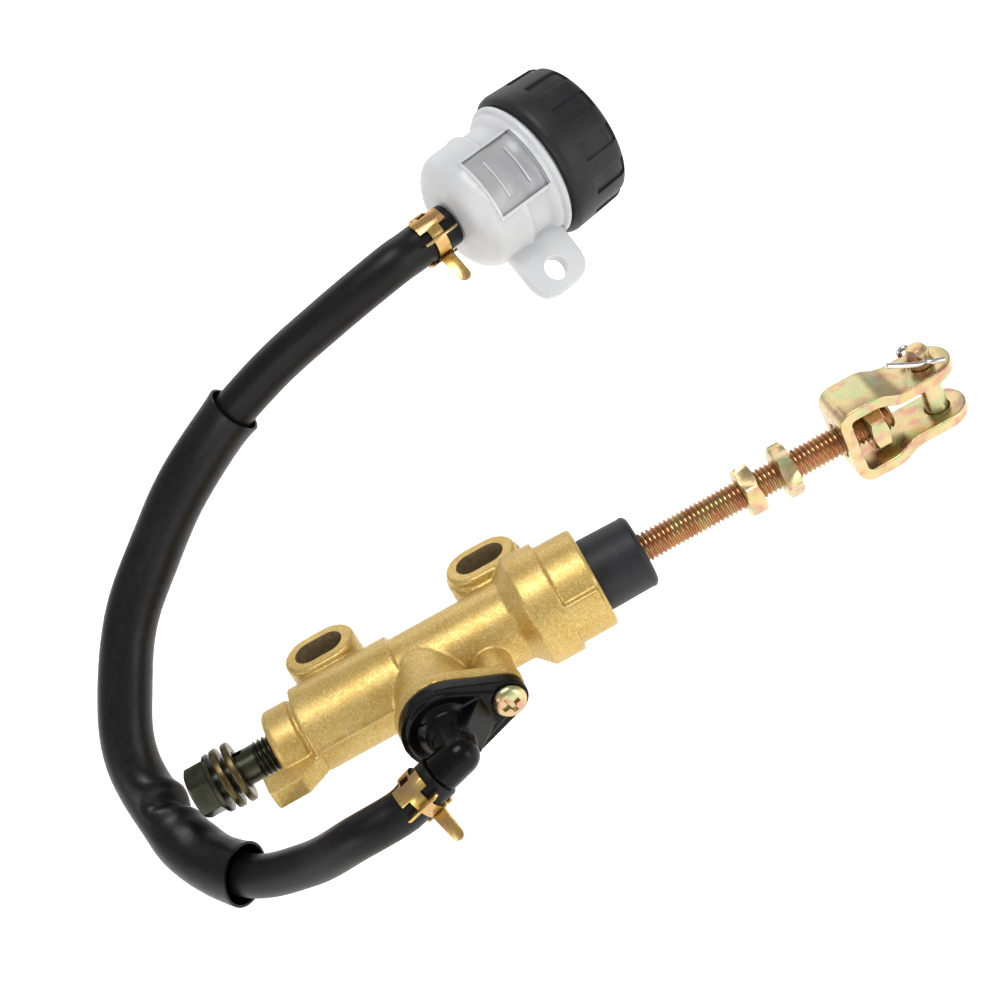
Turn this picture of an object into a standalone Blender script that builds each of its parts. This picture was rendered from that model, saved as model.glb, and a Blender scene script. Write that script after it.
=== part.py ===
"""Rear brake master cylinder with a remote reservoir, built as separate pieces.

The bore runs along X, with the push rod and clevis at +X. The fixing bolts pass along Z through two
slotted lugs beside the bore, and the inlet port points to -Y. The origin is on the bore's axis, midway
between the lugs.
"""

from math import atan2, cos, degrees, hypot, radians, sin, tau

import bmesh
import bpy
from mathutils import Matrix, Vector

MM = 0.001

# Driving dimensions, in millimetres. Positions along X are measured from midway between the lugs.
GAP = 0.3
BORE_RADIUS = 7.0
BARREL_RADIUS = 10.9
HEAD_RADIUS = 15.0
COLLAR_RADIUS = 13.4
SADDLE_RADIUS = 12.1
NOSE_RADIUS = 10.1
NOSE_END = -43.7
HEAD_END = 46.3
LUG_SPACING = 46.5
LUG_OFFSET_Y = 14.3
LUG_TOP = 11.6
LUG_BOTTOM = -9.5
LUG_RADIUS = 6.9
LUG_HALF_STRAIGHT = 2.8
SLOT_RADIUS = 3.9
SLOT_HALF_STRAIGHT = 2.7
PORT_X = -2.2
PORT_FACE_Y = -22.0
FLANGE_RADIUS = 11.7
SCREW_X = 13.8
SCREW_Z = -1.0
SCREW_EAR_RADIUS = 5.2
FLANGE_THICKNESS = 3.4
ELBOW_AXIS_Y = -36.7
ELBOW_RADIUS = 4.8
SPIGOT_RADIUS = 3.0
SPIGOT_START = 7.0
SPIGOT_END = 20.0
SPIGOT_TILT = radians(-19.0)
HOSE_RADIUS = 5.5
HOSE_BORE_RADIUS = 3.6
SLEEVE_RADIUS = 7.0
SLEEVE_WALL = 0.9
LOWER_TONGUE = (0.277, -0.523, -0.806)
ROD_RADIUS = 3.9
ROD_TIP = 28.9
ROD_END = 130.6
NUT_WIDTH = 12.7
CLEVIS_WEB = 116.3
CLEVIS_THICKNESS = 3.0
CLEVIS_HALF_WIDTH = 7.25
CLEVIS_HALF_WIDE = 10.9
CLEVIS_HALF_NARROW = 8.4
PIN_X = 142.6
PIN_RADIUS = 2.9
EAR_END_RADIUS = 7.25
COTTER_Z = 10.9
COTTER_RADIUS = 0.8
BOLT_RADIUS = 5.0
RESERVOIR_BASE = Vector((57.3, 45.4, 82.2))
RESERVOIR_AXIS = Vector((0.943, 0.330, -0.028)).normalized()
RESERVOIR_EAR = Vector((0.163, -0.538, -0.828))
CUP_RADIUS = 16.1
CUP_WALL = 1.6
NECK_RADIUS = 17.0
CAP_RADIUS = 20.0
ROUND_SIDES = 24
SMALL_SIDES = 16


def clear_scene():
    """Removes every object, so that only this part is left."""
    for thing in list(bpy.data.objects):
        bpy.data.objects.remove(thing, do_unlink=True)


def finish(name, colour, roughness, metallic=0.0):
    """A Principled material with the piece's colour, roughness and metal value."""
    material = bpy.data.materials.new(name)
    material.use_nodes = True
    shader = material.node_tree.nodes["Principled BSDF"]
    shader.inputs["Base Color"].default_value = (*colour, 1.0)
    shader.inputs["Roughness"].default_value = roughness
    shader.inputs["Metallic"].default_value = metallic
    return material


def place(origin=(0.0, 0.0, 0.0), along=(1.0, 0.0, 0.0), side=(0.0, 1.0, 0.0)):
    """A matrix that puts local X along a direction, local Y as near side as it can be, at a point in mm."""
    x_axis = Vector(along).normalized()
    z_axis = x_axis.cross(Vector(side)).normalized()
    y_axis = z_axis.cross(x_axis)
    turn = Matrix((x_axis, y_axis, z_axis)).transposed().to_4x4()
    return Matrix.Translation(Vector(origin) * MM) @ turn


def add_object(name, mesh_builder, material, matrix=None, smooth_angle=35.0):
    """Makes one named object from a bmesh in millimetres, with smooth round faces and outward normals."""
    bmesh.ops.remove_doubles(mesh_builder, verts=mesh_builder.verts, dist=0.0005)
    bmesh.ops.recalc_face_normals(mesh_builder, faces=mesh_builder.faces)
    bmesh.ops.scale(mesh_builder, vec=(MM, MM, MM), verts=mesh_builder.verts)
    mesh = bpy.data.meshes.new(name)
    mesh_builder.to_mesh(mesh)
    mesh_builder.free()
    mesh.shade_smooth()
    mesh.set_sharp_from_angle(angle=radians(smooth_angle))
    if material:
        mesh.materials.append(material)
    thing = bpy.data.objects.new(name, mesh)
    bpy.context.scene.collection.objects.link(thing)
    if matrix is not None:
        thing.matrix_world = matrix
    return thing


def turned(profile, sides=ROUND_SIDES):
    """A closed outline of (along, radius) pairs turned once about local X."""
    builder = bmesh.new()
    rings = []
    for along, radius in profile:
        if radius < 1e-6:
            rings.append([builder.verts.new((along, 0.0, 0.0))])
            continue
        angles = [tau * step / sides for step in range(sides)]
        rings.append([builder.verts.new((along, radius * cos(a), radius * sin(a))) for a in angles])
    for ring, following in zip(rings, rings[1:] + rings[:1]):
        if len(ring) == 1 and len(following) == 1:
            continue
        for step in range(sides):
            ahead = (step + 1) % sides
            corners = [ring[step % len(ring)], ring[ahead % len(ring)]]
            corners += [following[ahead % len(following)], following[step % len(following)]]
            unique = list(dict.fromkeys(corners))
            builder.faces.new(unique)
    return builder


def prism(outline, low, high, axis="Z"):
    """A flat outline of pairs in the other two axes, extruded from low to high along one axis."""
    order = {"X": (2, 0, 1), "Y": (0, 2, 1), "Z": (0, 1, 2)}[axis]
    builder = bmesh.new()
    floor = []
    for first, second in outline:
        values = (first, second, low)
        floor.append(builder.verts.new([values[order[slot]] for slot in range(3)]))
    face = builder.faces.new(floor)
    grown = bmesh.ops.extrude_face_region(builder, geom=[face])
    moved = [item for item in grown["geom"] if isinstance(item, bmesh.types.BMVert)]
    step = [0.0, 0.0, 0.0]
    step["XYZ".index(axis)] = high - low
    bmesh.ops.translate(builder, vec=step, verts=moved)
    return builder


def arc(centre, radius, start, stop, steps):
    """Points on a circle from one angle to another, in degrees."""
    angles = [radians(start + (stop - start) * step / steps) for step in range(steps + 1)]
    return [(centre[0] + radius * cos(a), centre[1] + radius * sin(a)) for a in angles]


def stadium(centre, radius, half_straight, steps=7):
    """A slot's outline, long along the first axis."""
    right = (centre[0] + half_straight, centre[1])
    left = (centre[0] - half_straight, centre[1])
    return arc(right, radius, -90, 90, steps) + arc(left, radius, 90, 270, steps)


def teardrop(big_centre, big_radius, small_centre, small_radius, steps=8):
    """The outline around two circles joined by their outer tangents."""
    reach = (small_centre[0] - big_centre[0], small_centre[1] - big_centre[1])
    heading = degrees(atan2(reach[1], reach[0]))
    spread = 90.0 - degrees((big_radius - small_radius) / hypot(*reach))
    big = arc(big_centre, big_radius, heading + spread, heading + 360.0 - spread, 2 * steps)
    small = arc(small_centre, small_radius, heading - spread, heading + spread, steps)
    return big + small


def hexagon(width, turn_degrees=0.0):
    """A hexagon with the given width across its flats."""
    corner = width / 2 / cos(radians(30))
    angles = [radians(turn_degrees + 60 * k) for k in range(6)]
    return [(corner * cos(a), corner * sin(a)) for a in angles]


def box(low, high):
    """A block between two corners."""
    outline = [(low[0], low[1]), (high[0], low[1]), (high[0], high[1]), (low[0], high[1])]
    return prism(outline, low[2], high[2], "Z")


def combine(target, builder, operation, matrix=None):
    """Joins, cuts or intersects a target with a hidden helper solid that isn't part of the model."""
    helper = add_object(f"{target.name}_helper_{len(target.modifiers)}", builder, None, matrix)
    helper.hide_render = True
    helper.display_type = "WIRE"
    modifier = target.modifiers.new(operation.lower(), "BOOLEAN")
    modifier.object = helper
    modifier.operation = operation
    modifier.solver = "EXACT"


def cylinder(low, high, radius, sides=ROUND_SIDES):
    """A plain round bar along local X."""
    return turned([(low, 0.0), (low, radius), (high, radius), (high, 0.0)], sides)


def ring(low, high, inner, outer, sides=ROUND_SIDES):
    """A plain washer or sleeve along local X."""
    return turned([(low, inner), (low, outer), (high, outer), (high, inner)], sides)


def smooth_route(points, spacing):
    """Evenly spaced points along a Catmull-Rom curve through the route's own points."""
    ends = [points[0] * 2 - points[1]] + list(points) + [points[-1] * 2 - points[-2]]
    fine = []
    for before, start, stop, after in zip(ends, ends[1:], ends[2:], ends[3:]):
        for step in range(24):
            t = step / 24
            pull = (stop - before) * t + (before * 2 - start * 5 + stop * 4 - after) * t * t
            bend = (start * 3 - before - stop * 3 + after) * t * t * t
            fine.append(start + (pull + bend) * 0.5)
    fine.append(points[-1])
    lengths = [0.0]
    for first, second in zip(fine, fine[1:]):
        lengths.append(lengths[-1] + (second - first).length)
    count = round(lengths[-1] / spacing)
    even = []
    place_in_fine = 0
    for step in range(count + 1):
        wanted = lengths[-1] * step / count
        while place_in_fine < len(fine) - 2 and lengths[place_in_fine + 1] < wanted:
            place_in_fine += 1
        stretch = lengths[place_in_fine + 1] - lengths[place_in_fine]
        share = (wanted - lengths[place_in_fine]) / stretch
        even.append(fine[place_in_fine].lerp(fine[place_in_fine + 1], share))
    return even


def swept_tube(route, outer, inner, sides):
    """A hollow tube along a route, with a flat ring at each end."""
    builder = bmesh.new()
    side = Vector((0.0, 0.0, 1.0))
    loops = []
    for index, point in enumerate(route):
        ahead = route[min(index + 1, len(route) - 1)] - route[max(index - 1, 0)]
        ahead.normalize()
        side = (side - ahead * side.dot(ahead)).normalized()
        other = ahead.cross(side)
        around = [side * cos(tau * k / sides) + other * sin(tau * k / sides) for k in range(sides)]
        loops.append([[builder.verts.new(point + a * radius) for a in around] for radius in (outer, inner)])
    for (outside, inside), (next_outside, next_inside) in zip(loops, loops[1:]):
        for k in range(sides):
            ahead = (k + 1) % sides
            builder.faces.new((outside[k], outside[ahead], next_outside[ahead], next_outside[k]))
            builder.faces.new((inside[k], inside[ahead], next_inside[ahead], next_inside[k]))
    for outside, inside in (loops[0], loops[-1]):
        for k in range(sides):
            ahead = (k + 1) % sides
            builder.faces.new((outside[k], outside[ahead], inside[ahead], inside[k]))
    return builder


def swept_bar(route, radius, sides):
    """A solid round bar along a route, with flat ends."""
    builder = bmesh.new()
    side = Vector((0.3, 0.4, 1.0))
    loops = []
    for index, point in enumerate(route):
        ahead = route[min(index + 1, len(route) - 1)] - route[max(index - 1, 0)]
        ahead.normalize()
        side = (side - ahead * side.dot(ahead)).normalized()
        other = ahead.cross(side)
        angles = [tau * k / sides for k in range(sides)]
        loops.append([builder.verts.new(point + (side * cos(a) + other * sin(a)) * radius) for a in angles])
    for loop, following in zip(loops, loops[1:]):
        for k in range(sides):
            ahead = (k + 1) % sides
            builder.faces.new((loop[k], loop[ahead], following[ahead], following[k]))
    builder.faces.new(loops[0])
    builder.faces.new(loops[-1])
    return builder


def bench(along, up, toward):
    """A point of the laid out assembly: along the bore, up across the bench and out from it."""
    lean = radians(57.0)
    return Vector((along, up * cos(lean) - toward * sin(lean), up * sin(lean) + toward * cos(lean)))


PORT = place((PORT_X, 0.0, 0.0), (0.0, -1.0, 0.0), (1.0, 0.0, 0.0))
SCREW = place((SCREW_X, 0.0, SCREW_Z), (0.0, -1.0, 0.0), (1.0, 0.0, 0.0))
SPIGOT_DIRECTION = Vector((-cos(SPIGOT_TILT), 0.0, sin(SPIGOT_TILT)))
ELBOW_CENTRE = Vector((PORT_X, ELBOW_AXIS_Y, 0.0))
SPIGOT = place(ELBOW_CENTRE, SPIGOT_DIRECTION, (0.0, 1.0, 0.0))
RESERVOIR = place(RESERVOIR_BASE, RESERVOIR_AXIS, RESERVOIR_EAR)


def make_casting(material):
    """The cast body with its lugs, port boss, banjo stop, bore and passages."""
    outer = [(NOSE_END, 0.0), (NOSE_END, 8.9), (NOSE_END + 1.2, NOSE_RADIUS), (-36.0, NOSE_RADIUS)]
    outer += [(-35.4, 9.6), (-34.7, BARREL_RADIUS), (23.8, BARREL_RADIUS), (27.8, HEAD_RADIUS)]
    outer += [(35.9, HEAD_RADIUS), (36.5, COLLAR_RADIUS + 0.2), (HEAD_END - 0.4, COLLAR_RADIUS)]
    outer += [(HEAD_END, COLLAR_RADIUS - 0.4), (HEAD_END, 0.0)]
    casting = add_object("cylinder_casting", turned(outer, 36), material)

    saddle_floor = 1.5
    saddle_edge = degrees(atan2(saddle_floor, SADDLE_RADIUS))
    saddle = arc((0.0, 0.0), SADDLE_RADIUS, saddle_edge, 180 - saddle_edge, 16)
    combine(casting, prism(saddle, -34.4, -6.8, "X"), "UNION")
    pad = [(-8.0, 5.8), (-13.8, 5.8), (-14.6, 2.5), (-14.9, -1.1), (-8.0, -1.1)]
    combine(casting, prism(pad, 30.0, HEAD_END - 0.9, "X"), "UNION")
    stop = [(-49.3, -9.0), (-48.7, -15.5), (-47.9, -16.2), (-40.0, -16.2), (-33.5, -12.0)]
    stop += [(-33.5, -6.0), (-43.4, -6.0), (-43.4, -9.0)]
    combine(casting, prism(stop, -4.4, 1.3, "Z"), "UNION")
    for side in (-1, 1):
        centre = (side * LUG_SPACING / 2, LUG_OFFSET_Y)
        lug = prism(stadium(centre, LUG_RADIUS, LUG_HALF_STRAIGHT), LUG_BOTTOM, LUG_TOP, "Z")
        combine(casting, lug, "UNION")
    boss = [(3.0, 0.0), (3.0, 10.0), (15.5, 10.0), (19.5, 11.3), (19.5, 0.0)]
    combine(casting, turned(boss), "UNION", PORT)
    combine(casting, cylinder(8.0, 19.5, 4.8, SMALL_SIDES), "UNION", SCREW)
    flange = teardrop((PORT_X, 0.0), FLANGE_RADIUS, (SCREW_X, SCREW_Z), SCREW_EAR_RADIUS)
    combine(casting, prism(flange, PORT_FACE_Y, PORT_FACE_Y + 3.2, "Y"), "UNION")

    for side in (-1, 1):
        centre = (side * LUG_SPACING / 2, LUG_OFFSET_Y)
        slot = prism(stadium(centre, SLOT_RADIUS, SLOT_HALF_STRAIGHT), LUG_BOTTOM - 1, LUG_TOP + 1, "Z")
        combine(casting, slot, "DIFFERENCE")
    outlet = BOLT_RADIUS + GAP
    inside = [(NOSE_END - 1, 0.0), (NOSE_END - 1, outlet), (-25.5, outlet), (-25.5, 1.0)]
    inside += [(-20.0, 1.0), (-20.0, BORE_RADIUS), (34.3, BORE_RADIUS), (34.3, 8.7), (39.6, 8.7)]
    inside += [(39.6, 9.9), (HEAD_END + 1, 9.9), (HEAD_END + 1, 0.0)]
    combine(casting, turned(inside), "DIFFERENCE")
    mouth = -PORT_FACE_Y + 1
    port = [(6.0, 0.0), (6.0, 0.8), (14.0, 0.8), (14.0, 5.8), (mouth, 5.8), (mouth, 0.0)]
    combine(casting, turned(port, SMALL_SIDES), "DIFFERENCE", PORT)
    groove = ring(-PORT_FACE_Y - 1.7, -PORT_FACE_Y + 1, 7.0, 9.6)
    combine(casting, groove, "DIFFERENCE", PORT)
    combine(casting, cylinder(12.0, -PORT_FACE_Y + 1, 2.7, 12), "DIFFERENCE", SCREW)


def make_inlet(plastic, rubber, steel):
    """The moulded elbow with its flange, spigot and fluid way, its O-ring and its screw."""
    back = PORT_FACE_Y - GAP
    front = back - FLANGE_THICKNESS
    plate = teardrop((PORT_X, 0.0), FLANGE_RADIUS - 0.3, (SCREW_X, SCREW_Z), SCREW_EAR_RADIUS - 0.3)
    elbow = add_object("inlet_elbow", prism(plate, front, back, "Y"), plastic)
    body = [(-PORT_FACE_Y - 6.0, 0.0), (-PORT_FACE_Y - 6.0, 5.4), (-back + 0.5, 5.4), (-back + 0.5, 9.2)]
    body += [(-front + 1.6, 9.2), (-front + 4.6, ELBOW_RADIUS + 1.2), (-ELBOW_AXIS_Y, ELBOW_RADIUS)]
    dome = arc((-ELBOW_AXIS_Y, 0.0), ELBOW_RADIUS, 90, 0, 6)[1:]
    combine(elbow, turned(body + dome, 24), "UNION", PORT)
    shoulder = SPIGOT_START - GAP
    arm = [(0.0, 0.0), (0.0, ELBOW_RADIUS), (shoulder, ELBOW_RADIUS), (shoulder, SPIGOT_RADIUS)]
    arm += [(SPIGOT_END, SPIGOT_RADIUS), (SPIGOT_END, 0.0)]
    combine(elbow, turned(arm, 24), "UNION", SPIGOT)
    combine(elbow, cylinder(10.0, -ELBOW_AXIS_Y, 2.0, 12), "DIFFERENCE", PORT)
    combine(elbow, cylinder(0.1, SPIGOT_END + 1, 1.8, 12), "DIFFERENCE", SPIGOT)
    combine(elbow, cylinder(15.0, 40.0, 2.7, 12), "DIFFERENCE", SCREW)

    middle = -PORT_FACE_Y - 0.7
    section = arc((middle, 8.3), 0.9, 0, 315, 7)
    add_object("elbow_o_ring", turned(section, 24), rubber, PORT)

    seat = -front + GAP
    screw = [(13.0, 0.0), (13.0, 1.8), (13.6, 2.4), (seat, 2.4), (seat, 4.3), (seat + 1.1, 4.2)]
    screw += [(seat + 2.0, 3.1), (seat + 2.3, 0.0)]
    add_object("elbow_screw", turned(screw, SMALL_SIDES), steel, SCREW)


def make_piston_group(aluminium, rubber, steel):
    """The parts inside the bore: piston, cups, return spring, stop washer and circlip."""
    land = BORE_RADIUS - GAP
    piston = [(2.7, 0.0), (2.7, land), (5.0, land), (5.6, 4.2), (22.0, 4.2), (22.6, land), (25.0, land)]
    piston += [(25.0, 4.6), (28.6, 4.6), (28.6, land), (32.0, land), (32.0, 4.4)]
    piston += [(30.6, 3.6), (28.5, 1.2), (28.5, 0.0)]
    add_object("piston", turned(piston), aluminium)
    primary = [(-1.3, 4.4), (-1.3, land), (0.4, land), (2.4, land - 0.5), (2.4, 0.0), (0.4, 0.0), (0.4, 3.6)]
    add_object("primary_cup", turned(primary), rubber)
    secondary = [(25.3, 4.9), (28.3, 4.9), (28.3, land - 0.5), (25.8, land), (25.3, land)]
    add_object("secondary_cup", turned(secondary), rubber)

    wire = 0.6
    coil_radius = 5.6
    turns = 5.5
    start = -19.3 + wire
    stop = -1.7 - wire
    count = round(turns * 9)
    helix = []
    for step in range(count + 1):
        angle = tau * turns * step / count
        along = start + (stop - start) * step / count
        helix.append(Vector((along, coil_radius * cos(angle), coil_radius * sin(angle))))
    add_object("return_spring", swept_bar(helix, wire, 6), steel)

    add_object("stop_washer", ring(34.6, 35.8, 4.8, 8.4, 24), steel)
    outline = arc((0.0, 0.0), 8.4, 20, 340, 14) + arc((0.0, 0.0), 6.9, 340, 20, 14)
    add_object("circlip", prism(outline, 36.1, 37.1, "X"), steel)


def make_nut(name, low, thickness, material, turn_degrees):
    """A hexagon nut on the push rod, with chamfered corners."""
    nut = add_object(name, prism(hexagon(NUT_WIDTH, turn_degrees), low, low + thickness, "X"), material)
    edge = NUT_WIDTH / 2
    rounding = [(low, 0.0), (low, edge), (low + 0.7, edge + 1.1), (low + thickness - 0.7, edge + 1.1)]
    rounding += [(low + thickness, edge), (low + thickness, 0.0)]
    combine(nut, turned(rounding, 24), "INTERSECT")
    combine(nut, cylinder(low - 1, low + thickness + 1, ROD_RADIUS + GAP, 24), "DIFFERENCE")


def make_push_rod_group(rod_finish, nut_finish, rubber):
    """The push rod, its boot and its three nuts."""
    rod = [(ROD_TIP, 0.0), (ROD_TIP + 0.5, 1.5), (30.4, 2.5), (32.1, 2.9), (32.5, 2.9), (32.5, 5.4)]
    rod += [(33.9, 5.4), (33.9, 3.3), (40.0, 3.3), (40.6, ROD_RADIUS), (ROD_END - 0.7, ROD_RADIUS)]
    rod += [(ROD_END, 3.2), (ROD_END, 0.0)]
    add_object("push_rod", turned(rod, 24), rod_finish)

    hole = ROD_RADIUS + GAP
    boot = [(40.0, 7.5), (40.0, 9.6), (HEAD_END, 9.6), (58.6, 9.3), (59.6, 8.9), (60.2, 8.0)]
    boot += [(60.2, hole), (58.7, hole), (58.7, 7.3)]
    add_object("dust_boot", turned(boot), rubber)

    make_nut("lock_nut_inner", 88.5, 4.4, nut_finish, 25.0)
    make_nut("lock_nut_outer", 98.8, 4.4, nut_finish, 5.0)
    make_nut("clevis_nut", 123.3, 4.6, nut_finish, 30.0)


def clevis_profile():
    """The strap's side outline: a web with two arms that step in towards the ears."""
    thick = CLEVIS_THICKNESS
    tip = PIN_X + EAR_END_RADIUS + 1.0
    upper_outer = [(CLEVIS_WEB + 3.6, CLEVIS_HALF_WIDE), (128.6, CLEVIS_HALF_WIDE)]
    upper_outer += [(133.6, CLEVIS_HALF_NARROW), (tip, CLEVIS_HALF_NARROW)]
    upper_inner = [(tip, CLEVIS_HALF_NARROW - thick), (132.6, CLEVIS_HALF_NARROW - thick)]
    upper_inner += [(127.6, CLEVIS_HALF_WIDE - thick), (CLEVIS_WEB + thick + 1.0, CLEVIS_HALF_WIDE - thick)]
    corner = arc((CLEVIS_WEB + 3.6, CLEVIS_HALF_WIDE - 3.6), 3.6, 180, 90, 4)[:-1]
    inner_corner = [(CLEVIS_WEB + thick, CLEVIS_HALF_WIDE - thick - 1.0)]
    half = corner + upper_outer + upper_inner + inner_corner
    mirrored = [(x, -z) for x, z in reversed(half)]
    return half + mirrored


def make_clevis_group(clevis_finish, pin_finish, cotter_finish):
    """The U strap, its headed pin and the split pin through it."""
    strap = prism(clevis_profile(), -CLEVIS_HALF_WIDTH, CLEVIS_HALF_WIDTH, "Y")
    clevis = add_object("clevis", strap, clevis_finish)
    half = CLEVIS_HALF_WIDTH + 0.01
    ear = arc((PIN_X, 0.0), half, -90, 90, 12) + [(CLEVIS_WEB - 1, half), (CLEVIS_WEB - 1, -half)]
    combine(clevis, prism(ear, -CLEVIS_HALF_WIDE - 1, CLEVIS_HALF_WIDE + 1, "Z"), "INTERSECT")
    combine(clevis, cylinder(CLEVIS_WEB - 1, CLEVIS_WEB + 5, ROD_RADIUS + 0.9, 20), "DIFFERENCE")
    upright = place((PIN_X, 0.0, 0.0), (0.0, 0.0, 1.0), (1.0, 0.0, 0.0))
    combine(clevis, cylinder(-12.0, 12.0, PIN_RADIUS + 0.35, 24), "DIFFERENCE", upright)

    under = -CLEVIS_HALF_NARROW - GAP
    pin = [(under - 2.6, 0.0), (under - 2.3, 2.2), (under - 1.4, 4.0), (under - 0.5, 4.8), (under, 4.8)]
    pin += [(under, PIN_RADIUS), (12.9, PIN_RADIUS), (13.8, 2.2), (13.8, 0.0)]
    clevis_pin = add_object("clevis_pin", turned(pin, 24), pin_finish, upright)
    cross = place((PIN_X, 0.0, COTTER_Z), (0.0, 1.0, 0.0), (0.0, 0.0, 1.0))
    combine(clevis_pin, cylinder(-6.0, 6.0, COTTER_RADIUS + GAP, 12), "DIFFERENCE", cross)

    left_leg = [Vector((-9.4, -4.6, 5.2)), Vector((-5.6, -4.5, 2.9)), Vector((-2.2, -4.2, 0.9))]
    left_leg += [Vector((-0.5, -3.8, 0.2)), Vector((0.0, -2.8, 0.0)), Vector((0.0, 3.2, 0.0))]
    eye = arc((-1.6, 4.6), 1.6, -40, 200, 8)
    left_leg += [Vector((across, back, 0.0)) for across, back in eye]
    right_leg = [Vector((0.0, -2.0, 0.0)), Vector((0.2, -3.4, 0.0))]
    right_leg += [Vector((1.4, -4.4, -0.4)), Vector((4.6, -4.6, -1.4))]
    at_hole = place((PIN_X, 0.0, COTTER_Z))
    cotter = add_object("cotter_pin", swept_bar(left_leg, COTTER_RADIUS, 8), cotter_finish, at_hole)
    combine(cotter, swept_bar(right_leg, COTTER_RADIUS - 0.1, 8), "UNION", at_hole)


def make_banjo_bolt(bolt_finish, washer_finish):
    """The banjo bolt, partly screwed in, with its two loose sealing washers."""
    seat = -60.2
    shank = BOLT_RADIUS - 0.4
    bolt = [(seat - 1.4, 0.0), (seat - 1.4, 7.8), (seat, 8.0), (seat, shank), (-48.6, shank)]
    bolt += [(-48.0, BOLT_RADIUS), (-38.0, BOLT_RADIUS), (-37.2, 4.2), (-37.2, 0.0)]
    banjo = add_object("banjo_bolt", turned(bolt, 24), bolt_finish)
    combine(banjo, prism(hexagon(12.6, 12.0), seat - 7.2, seat - 1.2, "X"), "UNION")
    combine(banjo, cylinder(-54.5, -36.0, 1.6, 12), "DIFFERENCE")
    across = place((-53.0, 0.0, 0.0), (0.0, 0.3, 1.0), (1.0, 0.0, 0.0))
    combine(banjo, cylinder(-8.0, 8.0, 1.4, 12), "DIFFERENCE", across)
    for name, low in (("outer_sealing_washer", -58.9), ("inner_sealing_washer", -55.7)):
        add_object(name, ring(low, low + 1.5, BOLT_RADIUS + GAP, 8.2, 24), washer_finish)


def hose_route():
    """The hose's line from the elbow's spigot to the cup's spigot, through points chosen by hand."""
    first = ELBOW_CENTRE + SPIGOT_DIRECTION * SPIGOT_START
    second = ELBOW_CENTRE + SPIGOT_DIRECTION * 14.0
    third = ELBOW_CENTRE + SPIGOT_DIRECTION * SPIGOT_END
    points = [first, second, third, bench(-33.2, -26.0, 25.0), bench(-48.5, -27.3, 13.0)]
    points += [bench(-66.1, -23.6, -1.0), bench(-77.1, -9.0, -10.0), bench(-80.3, 11.9, -14.0)]
    points += [bench(-73.4, 31.4, -15.0)]
    points += [bench(-61.7, 47.9, -15.0), bench(-45.2, 62.3, -13.0), bench(-23.6, 75.8, -8.0)]
    points += [bench(-1.4, 83.5, 0.0), bench(19.5, 87.5, 8.0)]
    points += [RESERVOIR_BASE - RESERVOIR_AXIS * reach for reach in (20.0, 14.0, 7.0, GAP)]
    return points


def make_hose_group(rubber, soft, clamp_finish):
    """The supply hose, its loose sleeve and the two spring band clamps."""
    route = smooth_route(hose_route(), 7.0)
    add_object("supply_hose", swept_tube(route, HOSE_RADIUS, HOSE_BORE_RADIUS, 10), rubber)
    covered = route[len(route) * 23 // 100 : len(route) * 74 // 100]
    sleeve = swept_tube(covered, SLEEVE_RADIUS, SLEEVE_RADIUS - SLEEVE_WALL, 10)
    add_object("hose_sleeve", sleeve, soft)
    lower_centre = ELBOW_CENTRE + SPIGOT_DIRECTION * 13.0
    make_clamp("lower_hose_clamp", place(lower_centre, SPIGOT_DIRECTION, LOWER_TONGUE), clamp_finish)
    upper_centre = RESERVOIR_BASE - RESERVOIR_AXIS * 6.6
    make_clamp("upper_hose_clamp", place(upper_centre, -RESERVOIR_AXIS, RESERVOIR_EAR), clamp_finish)


def make_clamp(name, matrix, material):
    """A sprung band with two raised ears and a tongue, around the hose."""
    inner = HOSE_RADIUS + GAP
    outer = inner + 0.7
    clamp = add_object(name, ring(-1.8, 1.8, inner, outer, 24), material, matrix)
    combine(clamp, box((-4.2, inner + 0.2, -2.2), (4.2, inner + 1.2, 2.2)), "UNION", matrix)
    combine(clamp, box((-1.7, inner + 0.3, 0.6), (1.7, inner + 9.0, 1.4)), "UNION", matrix)
    combine(clamp, cylinder(-6.0, 6.0, inner, 24), "DIFFERENCE", matrix)


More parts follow.
